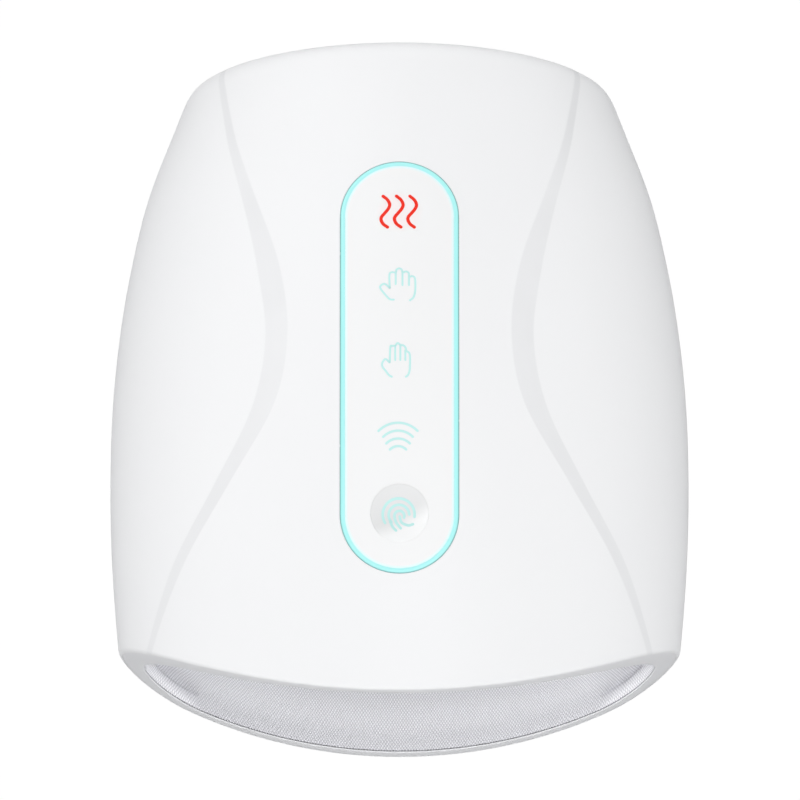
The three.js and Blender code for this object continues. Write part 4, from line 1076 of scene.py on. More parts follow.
# The heat mark's lamp tints the plate a faint pink round its three waves: a painted glow.
red_glow_colour = (0.95, 0.8, 0.81)
red_glow_centre_y = 40.7
red_glow_half_width = 7.8
red_glow_half_length = 7.5
red_glow_core = 0.55
red_glow_strength = 0.5
red_glow_round = {
    "Location": (0.0, red_glow_centre_y * mm, 0.0), "Scale": (red_glow_half_width * mm, red_glow_half_length * mm, 1.0),
}
red_glow_place = add_node(tree, "Mapping", {"Vector": spot, **red_glow_round}, vector_type="TEXTURE")[0]
red_glow_share = remapped(tree, length_of(tree, red_glow_place), 1.0, red_glow_core, 0.0, red_glow_strength, "SMOOTHSTEP")
red_glow_tint = blended(tree, red_glow_share, spill_tint, red_glow_colour)
feed(tree, skin, {"Colour": red_glow_tint, "Cloud colour": red_glow_tint})
make("plate", *plate_form(), panel_white, "panel_white", ["control_panel"])

# Power button
# A white round cap with a finger dish, held in the plate from below. It carries its lit mark
# and moves down with the switch's plunger.
dish_radius = 8.72
dish_depth = 1.9
dish_power = 2.3
button_foot = 83.3
cap_edge = 0.03
cap_middle = 0.03
cap_rings, cap_corners = 26, 96


def cap_height(x, y):
    """The cap's top: the dome's height, less a round hollow inside the dish's edge."""
    share = np.minimum(np.hypot(x, y - button_y) / dish_radius, 1)
    return dome_height(x, y) - dish_depth * (1 - share**dish_power)


def cap_form():
    """Rings from the dish's middle out over the rim and down the side to a flat foot."""
    angle = circle(cap_corners)
    rings = []
    for radius in [*(dish_radius * np.linspace(cap_middle, 1, cap_rings)), button_radius - cap_edge]:
        x, y = radius * np.cos(angle), button_y + radius * np.sin(angle)
        rings.append(np.stack([x, y, cap_height(x, y)], -1))
    x, y = button_radius * np.cos(angle), button_y + button_radius * np.sin(angle)
    for height in (dome_height(x, y) - cap_edge, np.full(len(angle), button_foot)):
        rings.append(np.stack([x, y, height], -1))
    return capped(*rings)


def dish_painted_shade(x, y):
    """How far a point is on the dish's side of painted shade: a smooth step across a slanted line."""
    across = (y - button_y) * np.sin(shade_direction) + x * np.cos(shade_direction)
    share = np.clip((across - shade_start) / shade_width, 0, 1)
    return share**2 * (3 - 2 * share)


# The hollow's far left side is painted greyer than the plate, as painted shade, and its near right side
# paler, as a painted highlight.
shade_direction = np.radians(117)
shade_start = -5.5
shade_width = 6.0
cap_painted_highlight = (0.925, 0.93, 0.935)
cap_painted_shade = (0.765, 0.77, 0.775)
cap_white, tree, skin = moulded_plastic("cap_white", panel_colour, panel_cloud_colour, roughness=0.42)
cap_painted_light_and_shade = blended(tree, painted(tree, "shade"), cap_painted_highlight, cap_painted_shade)
feed(tree, skin, {"Colour": cap_painted_light_and_shade, "Cloud colour": cap_painted_light_and_shade})
points, faces = cap_form()
cap = make("button_cap", points, faces, cap_white, "panel_white", ["power_button"], body="power_button")
# Each point keeps its share of the dish's painted shade and highlight.
paint(cap, "shade", dish_painted_shade(points[:, 0], points[:, 1]))

# Touch marks
# Four lit marks show through the plate: three waves for heat, two hands for squeezing and
# kneading, and arcs for vibration. Each is a thin inlaid line.
mark_lift = 0.03
mark_depth = 0.12
stroke_end_reach = np.array([1, 0.92, 0.71, 0.38])
stroke_end_spread = np.array([0.02, 0.39, 0.71, 0.92])


def curve_through(spots, leaving, arriving, steps):
    """Points on cubics from each spot to the next, with their slopes at both ends."""
    t = (np.arange(steps) / steps)[None, :, None]
    curve = cubic(t, spots[:-1, None], spots[1:, None], leaving[:, None], arriving[:, None])
    return np.concatenate([curve.reshape(-1, spots.shape[1]), spots[-1:]])


def smooth_line(points, steps=10):
    """A curve through a few points, with the slope of their neighbours at each."""
    spots = np.array(points, float)
    slope = np.gradient(spots, axis=0)
    return curve_through(spots, slope[:-1], slope[1:], steps)


def stroke(line, width, height):
    """A ribbon along a flat line, its ends half round, laid on a height over x and y."""
    way = np.gradient(line, axis=0)
    way /= np.linalg.norm(way, axis=1)[:, None]
    side = np.stack([-way[:, 1], way[:, 0]], -1)
    reach = width / 2 * stroke_end_reach[:, None]
    spread = np.concatenate([stroke_end_spread, np.ones(len(line)), stroke_end_spread[::-1]])
    line = np.concatenate([line[0] - way[0] * reach, line, line[-1] + way[-1] * reach[::-1]])
    side = np.pad(side, ((len(reach), len(reach)), (0, 0)), "edge") * width / 2 * spread[:, None]
    edges = [line + side, line, line - side]
    top = np.array([np.column_stack([edge, height(*edge.T) + mark_lift]) for edge in edges])
    bottom = top - [0, 0, mark_depth]
    return close_shell(top.reshape(-1, 3), bottom.reshape(-1, 3), grid_faces(numbered(*top.shape[:2])))


def joined(*bodies):
    """The points and faces of several closed bodies as one mesh."""
    points, faces, first = [], [], 0
    for some, quads in bodies:
        points.append(some)
        faces += [[k + first for k in quad] for quad in quads]
        first += len(some)
    return np.concatenate(points), faces


def make_mark(name, lines, width, height, material, slot, body="housing"):
    """A piece from several strokes, each a closed ribbon of its own."""
    return make(name, *joined(*(stroke(line, width, height) for line in lines)), material, slot, body=body)


def lit(name, colour, strength):
    """A material that glows by itself, for lines with a lamp behind them."""
    material, tree, principled = shader(name)
    glow(tree, principled, colour, roughness=0.4, strength=strength)
    return material


red_light = lit("red_light", (0.66, 0.018, 0.006), 0.25)
pale_light = lit("pale_light", (0.5, 0.78, 0.765), 0.06)
mark_x = 0.15
heat_y, squeeze_y, knead_y, vibrate_y = 41.5, 16.75, -7.2, -30.65
line_width = 0.6
heat_line_width = 1.0
arc_line_width = 0.72
power_line_width = 0.8


def drawn(spots, centre_y, straight=False):
    """A mark's line, smooth or straight between its spots, moved to its place on the plate."""
    line = np.array(spots, float) if straight else smooth_line(spots)
    return line + [mark_x, centre_y]


wave = [
    (-1.06, 4.42), (0.29, 3.15), (0.92, 1.64), (0.57, 0.28), (-0.52, -1.23), (-1.47, -2.43), (-1.66, -3.49),
    (-1.06, -4.85), (0.29, -5.97),
]
wave_pitch = 4.05
shifts = (-wave_pitch, 0.0, wave_pitch)
waves = [drawn([(x + shift, y) for x, y in wave], heat_y) for shift in shifts]
make_mark("heat_mark", waves, heat_line_width, dome_height, red_light, "panel_white")

open_hand = [
    drawn([(-1.9, -4.9), (-3.1, -4.7), (-4.5, -3.2), (-5.9, -1.2), (-5.8, -0.3), (-4.6, 0.2), (-3.1, -1.1)],
          squeeze_y),
    drawn([(-3.1, -1.1), (-3.2, 2.9), (-2.7, 3.9), (-1.3, 3.9), (-1.1, 4.7), (-0.3, 5.2), (0.5, 4.8),
           (0.8, 3.9), (1.8, 4.2), (2.6, 3.7), (2.8, 2.5), (3.7, 2.7), (4.5, 1.9), (4.6, -1.7),
           (4.1, -4.0), (3.0, -5.1)], squeeze_y),
    drawn([(-1.3, 3.9), (-1.3, 0.1)], squeeze_y, True),
    drawn([(0.75, 3.9), (0.75, -0.2)], squeeze_y, True),
    drawn([(2.7, 2.6), (2.7, -0.2)], squeeze_y, True),
]
make_mark("squeeze_mark", open_hand, line_width, dome_height, pale_light, "panel_white")

closed_hand = [
    drawn([(-2.5, -5.2), (-3.3, -4.7), (-4.3, -3.4), (-5.3, -2.0), (-5.3, -0.8), (-4.4, 0.3), (-3.2, -0.7)],
          knead_y),
    drawn([(-3.1, -0.7), (-2.9, 4.0), (-2.4, 4.4), (-1.5, 4.5), (-0.7, 5.3), (0.1, 4.7), (0.9, 4.6),
           (1.6, 4.0), (2.0, 2.8), (2.7, 2.3), (3.0, 1.1), (3.0, -1.2), (2.9, -3.1), (2.5, -4.5),
           (1.8, -5.2)], knead_y),
    drawn([(-1.45, 4.4), (-1.45, 0.0)], knead_y, True),
    drawn([(0.1, 4.5), (0.1, 0.0)], knead_y, True),
    drawn([(1.6, 3.0), (1.6, 0.0)], knead_y, True),
]
make_mark("knead_mark", closed_hand, line_width, dome_height, pale_light, "panel_white")


def arc(radius, start, end, x=0.0, y=0.0, count=28):
    """Points on part of a circle, from one angle in degrees to another."""
    angle = np.radians(np.linspace(start, end, count))
    return np.stack([x + radius * np.cos(angle), y + radius * np.sin(angle)], -1)


arc_tops = ((8.3, 4.1), (6.3, 1.7), (5.0, -0.7), (3.45, -3.0))
arc_x = -0.6
arc_start, arc_end = 135, 45
arcs = [arc(radius, arc_start, arc_end, arc_x, top - radius) for radius, top in arc_tops]
arcs = [drawn(line, vibrate_y, True) for line in arcs]
make_mark("vibrate_mark", arcs, arc_line_width, dome_height, pale_light, "panel_white")

# Power mark
# A lit swirl in the button's dish, printed on the cap and moving with it. It is a plain one of
# nested loops, like the lines of a fingertip.
swirl = [
    drawn(arc(4.8, 212, -8, -0.4, -0.1), button_y, True),
    drawn(arc(3.1, 222, 4, -0.3, -0.2), button_y, True),
    drawn(np.concatenate([arc(1.5, -20, 196, -0.2, -0.4, 16), [(-1.2, -2.3), (0.2, -4.2)]]), button_y),
    drawn([(-0.1, -0.6), (0.5, -2.4), (2.4, -3.3), (3.9, -3.0)], button_y),
    drawn([(-2.9, -2.3), (-2.1, -3.9), (-1.2, -4.9)], button_y),
]
make_mark("power_mark", swirl, power_line_width, cap_height, pale_light, "panel_white", body="power_button")

# Feet
# Four soft rubber discs pressed into seats in the sole, with a rounded rim and a hollow face.
foot_radius = 7
foot_top = 4.0
foot_round = 0.8


def lathe(profile, x, y, count=64):
    """A closed body turned from a profile of radius and height round an upright line. The
    profile starts and ends on that line."""
    radius, height = np.array(profile, float)[1:-1].T[:, :, None]
    angle = circle(count)
    rings = np.stack([x + radius * np.cos(angle), y + radius * np.sin(angle), height + 0 * angle], -1)
    number = numbered(*rings.shape[:2], closed=True)
    pole = np.full(count, rings[..., 0].size)
    fans = np.concatenate([
        np.stack([number[0, 1:], number[0, :-1], pole], -1),
        np.stack([number[-1, :-1], number[-1, 1:], pole + 1], -1),
    ])
    poles = [[x, y, profile[0][1]], [x, y, profile[-1][1]]]
    return np.concatenate([rings.reshape(-1, 3), poles]), grid_faces(number).tolist() + fans.tolist()


foot_rubber = moulded_plastic(
    "foot_rubber", (0.3, 0.31, 0.33), (0.36, 0.37, 0.39),
    roughness=0.72, grain_per_metre=2600.0, relief=0.25)[0]
foot_profile = [(0, 0.5), (2.0, 0.46), (4.0, 0.3), (5.4, 0.05)]
foot_profile += [(foot_radius - inset, depth) for inset, depth in quarter_round(foot_round, 7)]
foot_profile += [(foot_radius, foot_top), (0, foot_top)]
for name, (x, y) in foot_spots.items():
    make(f"pad_{name}", *lathe(foot_profile, x, y), foot_rubber, "foot_rubber", [name])

# Screws
# Six zinc-plated screws hold the two shells from below, and eight small ones hold the boards.
# Each has a domed head with a cross recess and a rolled thread.
base_screw = {"thread": 1.4, "head": 2.7, "head_height": 1.7, "length": 10, "pitch": 1.1}
board_screw = {"thread": 0.9, "head": 2.2, "head_height": 1.4, "length": 7, "pitch": 0.7}
base_screw_seat = 5.3
touch_screw_seat = 76.7
main_screw_seat = 34.9
head_skirt = 0.12
neck_share = 0.8
root_share = 0.72
tip_share = 0.45
flank_slope = 1.5
root_width = 0.2
steps_per_pitch = 8
screw_corners = 32
recess_arm = 0.56
recess_half = 0.13
recess_depth = 0.65
recess_foot_arm = 0.6
recess_foot_half = 0.7
touch_screw_spots = [(-19, -62.6), (-19, 48.6), (19, -62.6), (19, 48.6)]
main_screw_spots = [(-39.4, 59.6), (-39.4, 93.4), (39.4, 59.6), (39.4, 93.4)]

# Plated and drawn metal: streaks from drawing or turning, a slow change of colour and gloss in
# the plating, and hairline scratches.
plated, given, outlet = skin_effect(
    "plated_skin", {"Colour": "Color", "Dark colour": "Color", "Roughness": "Float", "Streaks": "Vector"})
place = own_place(plated)
stretched = add_node(plated, "VectorMath", {0: place, 1: given["Streaks"]}, operation="MULTIPLY")[0]
streaks = noise(plated, stretched, scale=900.0, detail=4.0)["Fac"]
patches = noise(plated, place, scale=160.0, detail=3.0)["Fac"]
drift = remapped(plated, streaks, 0.0, 1.0, low=-0.1, high=0.12)
feed(plated, outlet, {
    "Colour": blended(plated, patches, given["Colour"], given["Dark colour"]),
    "Roughness": worked_out(plated, "ADD", drift, given["Roughness"]),
    "Normal": bumps(plated, streaks, distance=0.00003, strength=0.35),
})


def metal(name, colour, dark_colour, roughness, streaks=(1.0, 1.0, 1.0)):
    """A metal whose streaks are drawn out along the axes with a small number."""
    looks = {"Colour": colour, "Dark colour": dark_colour, "Roughness": roughness, "Streaks": streaks}
    return skinned(name, plated, looks, {"Metallic": 1.0})[0]


def dress(material, *names):
    """Gives CAD nodes a finish in place of their plain one."""
    for name in names:
        for place in nodes[name].material_slots:
            place.material = material


def screw_form(x, y, seat, way, thread, head, head_height, length, pitch):
    """Rings from the domed head's top to the tip, way up or down. The shank's radius rises and
    falls once each pitch, shifted by the angle's share of a turn, so its ridge is a helix."""
    angle = circle(screw_corners)
    bow = np.linspace(0.1, 1, 7) * np.pi / 2
    skirt = head_skirt * head_height
    head_radius = np.concatenate([head * np.sin(bow), [head, head - skirt, neck_share * thread]])
    head_rise = np.concatenate([-head_height * (0.5 + 0.5 * np.cos(bow)), [-skirt, 0, 0]])
    rise = np.linspace(0.05, 1, int(steps_per_pitch * length / pitch)) * (length - pitch)
    turns = rise[:, None] / pitch - way * angle / (2 * np.pi)
    ridge = 1 - np.abs(2 * (turns % 1) - 1)
    shank = thread * (root_share + (1 - root_share) * np.clip(flank_slope * ridge - root_width, 0, 1))
    radius = np.concatenate([head_radius[:, None] + 0 * angle, shank, [tip_share * thread + 0 * angle]])
    height = np.concatenate([head_rise, rise, [length]])[:, None] + 0 * angle
    x, y = x + radius * np.cos(angle), y + radius * np.sin(angle)
    return capped(*np.stack([x, y, seat + way * height], -1))


def cross_outline(x, y, z, arm, half):
    """A plus sign's outline on a level."""
    corner = ((arm, half), (half, half), (half, arm))
    points = []
    for turn in np.radians((0, 90, 180, 270)):
        c, s = np.cos(turn), np.sin(turn)
        points += [(x + c * u - s * v, y + s * u + c * v, z) for u, v in corner]
    return np.array(points)


def add_screw(node, x, y, seat, way, size):
    """A screw in place of a node, its recess narrowing towards the bottom."""
    piece = make(f"steel_{node}", *screw_form(x, y, seat, way, **size), screw_steel, "screw_steel", [node])
    arm, half = recess_arm * size["head"], recess_half * size["head"]
    above = seat - way * (size["head_height"] + seam_gap)
    foot = seat - way * (1 - recess_depth) * size["head_height"]
    wide = cross_outline(x, y, above, arm, half)
    narrow = cross_outline(x, y, foot, recess_foot_arm * arm, recess_foot_half * half)
    cut(piece, *capped(wide, narrow))


screw_steel = metal("screw_steel", (0.46, 0.46, 0.47), (0.36, 0.36, 0.38), roughness=0.32)
for name, spots, *kind in (
    ("base_screw", screw_spots, base_screw_seat, 1, base_screw),
    ("board_screw", touch_screw_spots, touch_screw_seat, 1, board_screw),
    ("main_board_screw", main_screw_spots, main_screw_seat, -1, board_screw),
):
    for number, (x, y) in enumerate(spots, 1):
        add_screw(f"{name}_{number}", x, y, *kind)

# Air bags
# Two bladders of heat-welded grey film, one over the hand and one below the palm cushion. Weld
# lines across them part each into three chambers, and a nipple takes its hose.
bag_front, bag_back = -62, 36
bag_corner = 14
bag_half = 46
upper_bag_half = 49.5
upper_bag_room = 1.75
upper_bag_full = 6.0
lower_bag_middle = 11.95
lower_bag_full = 3.7
film = 0.7
weld_width = 3.0
bag_swell = 12.0
weld_softness = 2.2
weld_lines = (-29.3, 3.3)
weld_pinch = 0.8
upper_port = ((30, 20, 58), (30, 20, 68))
lower_port = ((42, 20, lower_bag_middle), (42, 54, lower_bag_middle))
nipple_radius = 1.8
nipple_slim = 1.53
nipple_bore = 1.1
tube_corners = 28


def plate_grid(half, low, high, corner, columns, rows):
    """x and y of a grid over a plate with round corners. Its lines lie closer to the edges."""
    middle, reach = (low + high) / 2, (high - low) / 2
    y = middle + reach * np.sin(np.linspace(-np.pi / 2, np.pi / 2, rows))[:, None]
    to_end = np.minimum(reach - np.abs(y - middle), corner)
    narrow = corner - np.sqrt(corner**2 - (corner - to_end) ** 2)
    x = (half - narrow) * np.sin(np.linspace(-np.pi / 2, np.pi / 2, columns))
    return x, y * np.ones(columns)


def edge_distance(x, y, half, low, high, corner):
    """How far a point lies inside the edge of a plate with round corners."""
    across = np.abs(x) - (half - corner)
    beyond = np.abs(y - (low + high) / 2) - ((high - low) / 2 - corner)
    outside = np.hypot(np.maximum(across, 0), np.maximum(beyond, 0))
    return corner - outside - np.minimum(np.maximum(across, beyond), 0)


def swell(edge, thin, full, flat, reach):
    """Thickness at a distance from the edge: thin on the flat rim, then a quarter ellipse."""
    inside = np.clip((edge - flat) / reach, 0, 1)
    return thin + (full - thin) * np.sqrt(1 - (1 - inside) ** 2)


def bag_thickness(x, y, half, full):
    """A welded bag's thickness, pinched to a fifth along each weld line."""
    edge = edge_distance(x, y, half, bag_front, bag_back, bag_corner)
    thickness = swell(edge, film, full, weld_width, bag_swell)
    for weld in weld_lines:
        pinch = weld_pinch * np.exp(-((y - weld) / weld_softness) ** 2)
        thickness = film + (thickness - film) * (1 - pinch)
    return thickness


def sleeve_roof(x, y, room):
    """Height of the sleeve's roof at x and y, with some room above it."""
    sag = front_face(x, 0) - front_y
    depth = y - front_y
    for _ in range(meeting_steps // 2):
        throat = along(throat_table, depth / sleeve_length)
        depth = y - front_y - sag * (1 - throat)
    middle = along_throat(throat, mouth_widest, hand_widest)
    top = along_throat(throat, mouth_top, hand_top) + room
    half = mouth_half * along(hand_width_table, depth / sleeve_length) + room
    power = along_throat(throat, arch_power, hand_arch_power)
    return middle + (top - middle) * (1 - np.minimum(np.abs(x) / half, 1) ** 2) ** (1 / power)


def two_skins(x, y, low, high):
    """A closed body between two heights over a grid of x and y."""
    top, bottom = (np.stack([x, y, z], -1).reshape(-1, 3) for z in (high, low))
    return close_shell(top, bottom, grid_faces(numbered(*x.shape)))


def nipple(start, end, flare_share=0.82):
    """A short hollow spout from start to end, with a barbed lip at its end: rings of a closed
    profile round the line between them."""
    start, end = np.array(start, float), np.array(end, float)
    way = (end - start) / np.linalg.norm(end - start)
    side = np.cross(way, [1, 0, 0])
    other = np.cross(way, side)
    profile = [
        (0, nipple_slim), (flare_share, nipple_slim), (flare_share, nipple_radius), (1, nipple_slim),
        (1, nipple_bore), (0, nipple_bore),
    ]
    angle = circle(tube_corners)[:, None]
    round_way = np.cos(angle) * side + np.sin(angle) * other
    return torus([start + (end - start) * share + radius * round_way for share, radius in profile])


# The film is matt and softly wrinkled, with a fine waffle where the hot tool pressed it.
waffle_pitch = 1.2 * mm
wrinkle_share = 3.0
airbag_skin, tree, principled = shader("airbag_skin")
spot = own_place(tree)
wrinkles = noise(tree, spot, scale=90.0, detail=4.0, Distortion=0.6)["Fac"]
ridges = [yarn_ridges(tree, spot, way, waffle_pitch) for way in ((0.7, 0.7), (0.7, -0.7))]
waffle = worked_out(tree, "MULTIPLY", *ridges)
bag_height = worked_out(tree, "MULTIPLY_ADD", wrinkles, wrinkle_share, waffle)
feed(tree, principled, {
    "Base Color": blended(tree, wrinkles, (0.25, 0.26, 0.28), (0.33, 0.34, 0.36)),
    "Normal": bumps(tree, bag_height, distance=0.0001, strength=0.5), "Roughness": 0.55,
})

x, y = plate_grid(upper_bag_half, bag_front, bag_back, bag_corner, columns=72, rows=80)
bottom = sleeve_roof(x, y, upper_bag_room)
upper_bag = two_skins(x, y, bottom, bottom + bag_thickness(x, y, upper_bag_half, upper_bag_full))
upper_nipple = nipple(*upper_port)
make("upper_bladder", *joined(upper_bag, upper_nipple), airbag_skin, "airbag_skin", ["upper_airbag"])
x, y = plate_grid(bag_half, bag_front, bag_back, bag_corner, columns=72, rows=80)
half_thickness = bag_thickness(x, y, bag_half, lower_bag_full) / 2
lower_bag = two_skins(x, y, lower_bag_middle - half_thickness, lower_bag_middle + half_thickness)
lower_nipple = nipple(*lower_port, flare_share=0.94)
make("lower_bladder", *joined(lower_bag, lower_nipple), airbag_skin, "airbag_skin", ["lower_airbag"])

# Palm cushion and heater
# A foam cushion, crowned and drawn in along its sides, under the sleeve's sole. On it lies a
# dark heating film with a printed track that winds to and fro.
cushion_low = 14.25
cushion_high = 19.85
cushion_edge = 2.4
cushion_reach = 9.0
cushion_drawn_in = 0.9
cushion_belly = 0.35
cushion_lift = 0.8
cushion_foot_reach = 2.5
heater_low = 20.25
heater_film_thickness = 0.3
heater_front = -50
heater_track_width = 1.5
heater_track_half = 38
heater_track_pitch = 6.2


def cushion_form():
    """A plate whose sides curve in between its corners and whose top is crowned. It stays
    below the sleeve's sole, which comes down towards the mouth."""
    x, y = plate_grid(bag_half, bag_front, bag_back, bag_corner, columns=96, rows=100)
    edge = edge_distance(x, y, bag_half, bag_front, bag_back, bag_corner)
    middle, reach = (bag_front + bag_back) / 2, (bag_back - bag_front) / 2
    belly = np.cos(np.pi / 2 * np.clip((y - middle) / reach, -1, 1)) ** 2
    throat = along(throat_table, (y - front_y) / sleeve_length)
    sole = along_throat(throat, mouth_bottom, hand_bottom) - upper_bag_room
    high = cushion_low + swell(edge, cushion_edge, cushion_high - cushion_low, 0, cushion_reach)
    high = high - cushion_belly * (1 - np.cos(np.pi * x / bag_half)) / 2 * belly
    low = cushion_low + cushion_lift - swell(edge, 0.0, cushion_lift, 0, cushion_foot_reach)
    return two_skins(x * (1 - cushion_drawn_in / bag_half * belly), y, low, np.minimum(high, sole))


pad_foam, tree, principled = shader("pad_foam")
spot = own_place(tree)
pores = {"Vector": spot, "Scale": 1400.0}
pores = add_node(tree, "TexVoronoi", pores, feature="DISTANCE_TO_EDGE")["Distance"]
foam_tone = worked_out(tree, "MULTIPLY", pores, noise(tree, spot, scale=60.0, detail=3.0)["Fac"])
feed(tree, principled, {
    "Base Color": banded(tree, foam_tone, [(0.0, (0.74, 0.71, 0.66)), (0.35, (0.56, 0.53, 0.48))]),
    "Normal": bumps(tree, pores, distance=0.0003, strength=0.7, invert=True), "Roughness": 0.9,
})
cushion = make("palm_cushion", *cushion_form(), pad_foam, "pad_foam", ["palm_pad"])


def heater_face(x, y):
    """The heating film's flat top."""
    return heater_low + heater_film_thickness + 0 * x


x, y = plate_grid(bag_half, heater_front, bag_back, bag_corner, columns=40, rows=40)
heater = two_skins(x, y, heater_low + 0 * x, heater_face(x, y))
heater_film = moulded_plastic(
    "heater_film", (0.045, 0.034, 0.028), (0.07, 0.05, 0.04),
    roughness=0.4, grain_per_metre=900.0, relief=0.2)[0]
make("heater_sheet", *heater, heater_film, "heater_film", ["heating_pad"])
track = []
track_ends = heater_front + bag_corner, bag_back - heater_track_pitch
for k, y in enumerate(np.arange(*track_ends, heater_track_pitch)):
    side = heater_track_half if k % 2 else -heater_track_half
    track += [(side, y), (0, y), (-side, y)]
copper = metal("heater_track", (0.72, 0.42, 0.26), (0.6, 0.34, 0.2), roughness=0.4)
make_mark("heater_track", [smooth_line(track)], heater_track_width, heater_face, copper, "heater_film")

# Air hoses
# Three soft clear silicone hoses: from the pump to the manifold, and from there to each bag.
# Each is one bent tube pushed over the barbs at its ends.
hose_radius = 2.3
hose_bore = 1.5
odd_way = (0.6, 0.64, 0.48)
hose_routes = {
    "pump_hose": [
        (10.3, 69.5, 70.6), (10.3, 69.5, 72.9), (14.9, 69.5, 75.2), (23.4, 70.8, 75.2), (28, 70.8, 71.8),
        (28, 70.8, 69.5),
    ],
    "upper_hose": [
        (30, 20, 68.3), (30, 20, 72.6), (30, 24.6, 71.8), (28, 56.4, 74.1), (28, 61, 71.0), (28, 61, 69.5),
    ],
    "lower_hose": [
        (42, 54.3, 11.95), (42, 56.3, 11.95), (48.6, 58.6, 21.15), (48.6, 61, 34.6), (48.6, 61, 46.6),
        (44.6, 61, 61.1), (42.3, 61, 63.4), (40.3, 61, 63.4),
    ],
}


def hose_path(route, steps=20):
    """A curve through the points. Between two it is the cubic whose slopes come from the three
    nearest points, weighted by the roots of the distances between them."""
    p = np.array(route, float)
    p = np.concatenate([[2 * p[0] - p[1]], p, [2 * p[-1] - p[-2]]])
    gap = np.sqrt(np.linalg.norm(np.diff(p, axis=0), axis=1))[:, None]
    run = np.diff(p, axis=0) / gap
    slope = run[:-1] + run[1:] - (p[2:] - p[:-2]) / (gap[:-1] + gap[1:])
    span = gap[1:-1]
    return curve_through(p[1:-1], slope[:-1] * span, slope[1:] * span, steps)


def hose_form(route):
    """A hollow tube along a path: rings square to it, each ring's first direction carried on
    from the one before, once outside going out and once inside coming back. The first of all
    is square to a way that no hose starts in."""
    path = hose_path(route)
    way = np.gradient(path, axis=0)
    way /= np.linalg.norm(way, axis=1)[:, None]
    side = np.cross(way[0], odd_way)
    sides = []
    for step in way:
        side = side - step * (side @ step)
        side = side / np.linalg.norm(side)
        sides.append(side)
    angle = circle(tube_corners)[None, :, None]
    round_way = np.cos(angle) * np.array(sides)[:, None] + np.sin(angle) * np.cross(way, sides)[:, None]
    outside, inside = (path[:, None] + radius * round_way for radius in (hose_radius, hose_bore))
    return torus(np.concatenate([outside, inside[::-1]]))


hose_clear = moulded_plastic(
    "hose_clear", (0.74, 0.78, 0.82), (0.68, 0.72, 0.77), roughness=0.3, clear=0.45)[0]
for name, route in hose_routes.items():
    make(f"soft_{name}", *hose_form(route), hose_clear, "hose_clear", [name])

# Inner frames
# Two grey mouldings hold the sleeve and its bags, one over and one under it. Behind them a wall
# with a shelf carries the pump, and a cradle the battery. The pump's body is of the same grey.
frame_plastic = moulded_plastic(
    "frame_plastic", (0.58, 0.6, 0.62), (0.53, 0.55, 0.575),
    roughness=0.5, grain_per_metre=1100.0, relief=0.12)[0]
dress(frame_plastic, "tunnel_roof", "tunnel_tray", "rear_frame", "battery_cradle")
dress(frame_plastic, "pump_head", "valve_upper", "valve_lower", "air_manifold")

# Boards and switch
# Green laminate boards with their copper tracks under the mask and tinned spots. The touch board
# carries a white box that parts the marks' lamps, and a black switch with its plunger.
track_pitch = 1.6 * mm
board_green, tree, principled = shader("board_green")
spot = own_place(tree)
blocks = add_node(tree, "TexVoronoi", {"Vector": spot, "Scale": 130.0}, distance="CHEBYCHEV")["Color"]
choice = worked_out(tree, "GREATER_THAN", add_node(tree, "SeparateColor", {0: blocks})[0], 0.5)
ridges = [yarn_ridges(tree, spot, way, track_pitch) for way in ((1.0, 0.0), (0.0, 1.0))]
lines = blended(tree, choice, *ridges, kind="FLOAT")
tracks = remapped(tree, lines, start=0.72, end=0.8)
laminate = blended(tree, tracks, (0.02, 0.13, 0.05), (0.05, 0.24, 0.1))
from_joint = add_node(tree, "TexVoronoi", {"Vector": spot, "Scale": 260.0})["Distance"]
tinned = remapped(tree, from_joint, start=0.17, end=0.13)
board_colour = blended(tree, tinned, laminate, (0.7, 0.68, 0.6))
feed(tree, principled, {"Base Color": board_colour, "Metallic": tinned, "Roughness": 0.38})
dress(board_green, "main_board", "touch_board")
light_box_white = moulded_plastic("light_box_white", (0.8, 0.8, 0.8), (0.76, 0.76, 0.77), roughness=0.6)[0]
dress(light_box_white, "light_box")
switch_black = moulded_plastic(
    "switch_black", (0.02, 0.02, 0.022), (0.03, 0.03, 0.032),
    roughness=0.45, grain_per_metre=2200.0, relief=0.15)[0]
dress(switch_black, "power_switch", "switch_plunger")

# Charging socket
# A tinned steel sleeve soldered to the main board, with a black tongue that carries two rows of
# gold contacts.
contact_pitch = 0.5 * mm
contact_start, contact_end = 98.4 * mm, 102.0 * mm
socket_steel = metal(
    "socket_steel", (0.66, 0.66, 0.68), (0.58, 0.58, 0.6), roughness=0.3, streaks=(1.0, 0.05, 1.0))
dress(socket_steel, "usb_socket")
tongue, tree, principled = shader("socket_tongue")
spot = own_place(tree)
contacts = remapped(tree, yarn_ridges(tree, spot, (1.0, 0.0), contact_pitch), start=0.68, end=0.74)
along_y = add_node(tree, "SeparateXYZ", {0: spot})["Y"]
middle, reach = (contact_start + contact_end) / 2, (contact_end - contact_start) / 2
gold = worked_out(tree, "MULTIPLY", contacts, worked_out(tree, "COMPARE", along_y, middle, reach))
tongue_colour = blended(tree, gold, (0.02, 0.02, 0.022), (0.83, 0.62, 0.28))
feed(tree, principled, {"Base Color": tongue_colour, "Metallic": gold, "Roughness": 0.35})
dress(tongue, "usb_tongue")

# Battery cells
# Two round cells in blue shrink sleeves that leave the steel ends bare. Each is a turned can with
# a raised button on one end, and lies across the cradle.
cell_radius = 9.2
cell_half = 32.5
cell_edge = 0.7
cell_groove = 29.2
cell_end = 32.4
button_top = 33.5
button_round = 3.0
cell_height = 17.2
cell_rows = {"battery_cell_1": 63.8, "battery_cell_2": 83.5}
roll_depth = 0.35


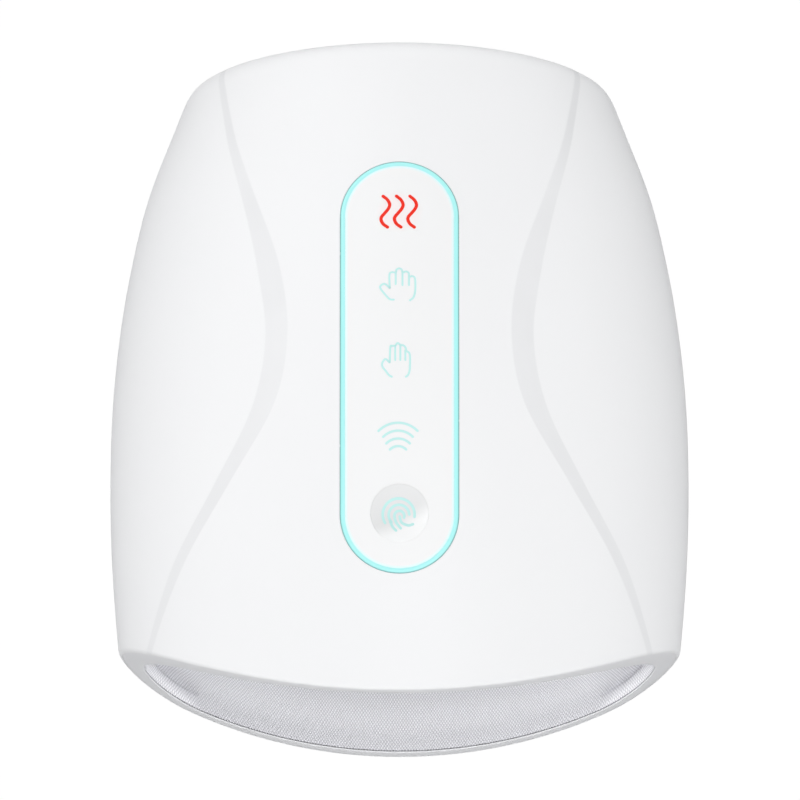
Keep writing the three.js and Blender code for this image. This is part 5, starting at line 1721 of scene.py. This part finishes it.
def can_profile(radius, low, high, edge, groove):
    """Radius and place of a round can from its closed end's middle to its other end's edge. Both
    edges are round, and a shallow groove is rolled in near the far one."""
    turn = np.linspace(0, np.pi / 2, 6)
    corner = quarter_round(edge, len(turn))
    first = [(radius - inset, low + depth) for inset, depth in corner]
    rolled = [(radius - roll_depth * np.sin(2 * a), groove + 2 * roll_depth * a) for a in turn]
    last = [(radius - depth, high - inset) for inset, depth in corner]
    return [(0, low)] + first + rolled + last


cell_wrap, tree, skin = moulded_plastic("cell_wrap", (0.045, 0.14, 0.39), (0.05, 0.16, 0.43), roughness=0.3)
cell_x = add_node(tree, "SeparateXYZ", {0: own_place(tree)})["X"]
bare = worked_out(tree, "GREATER_THAN", worked_out(tree, "ABSOLUTE", cell_x), cell_end * mm)
cell_colour = blended(tree, bare, skin.outputs["Colour"], (0.6, 0.6, 0.61))
feed(tree, tree.nodes["Principled BSDF"], {"Base Color": cell_colour, "Metallic": bare})
cell_profile = can_profile(cell_radius, -cell_half, cell_half, cell_edge, cell_groove)
cell_profile += [(button_round, cell_half), (button_round, button_top), (0, button_top)]
for name, cell_y in cell_rows.items():
    points, faces = lathe(cell_profile, cell_y, cell_height)
    make(f"wrapped_{name}", np.roll(points, 1, 1), faces, cell_wrap, "cell_wrap", [name])

# Motors, pump and valves
# Plated motor cans with a blind bore for the shaft, turned steel on all that spins or slides in
# them, and a soft grey saddle that keeps the pump's hum off the shelf.
pump_radius = 12.0
pump_back = -30.0
pump_edge = 1.0
pump_groove = -4.4
pump_bore_radius = 1.5
pump_bore_end = -14.3
pump_line = (75.0, 56.3)
shaker_radius = 6.5
shaker_back = -10.0
shaker_front = 8.0
shaker_edge = 0.6
shaker_groove = 5.2
shaker_bore_radius = 1.2
shaker_bore_end = -1.3
shaker_line = (68.5, 42.0)


def bore_profile(radius, start, end):
    """The profile of a blind bore, from its mouth to the middle of its floor."""
    return [(radius, start), (radius, end), (0, end)]


motor_can = metal(
    "motor_can", (0.5, 0.51, 0.53), (0.43, 0.44, 0.46), roughness=0.34, streaks=(0.08, 1.0, 1.0))
pump_can = can_profile(pump_radius, pump_back, 0.0, pump_edge, pump_groove)
pump_can += bore_profile(pump_bore_radius, 0.0, pump_bore_end)
points, faces = lathe(pump_can, *pump_line)
make("pump_can", np.roll(points, 1, 1), faces, motor_can, "motor_can", ["pump_motor"])
# The vibration motor's can lies along the body with its bore towards the mouth.
shaker_can = can_profile(shaker_radius, shaker_back, shaker_front, shaker_edge, shaker_groove)
shaker_can += bore_profile(shaker_bore_radius, shaker_front, shaker_bore_end)
points, faces = lathe(shaker_can, *shaker_line)
points = np.roll(points * [1, 1, -1], -1, 1)
make("shaker_can", points, faces, motor_can, "motor_can", ["vibration_motor"])
shaft_steel = metal(
    "shaft_steel", (0.56, 0.56, 0.58), (0.48, 0.48, 0.5), roughness=0.26, streaks=(1.0, 0.1, 1.0))
dress(shaft_steel, "pump_crank", "vibration_weight", "valve_upper_plunger", "valve_lower_plunger")
dress(foot_rubber, "pump_saddle")
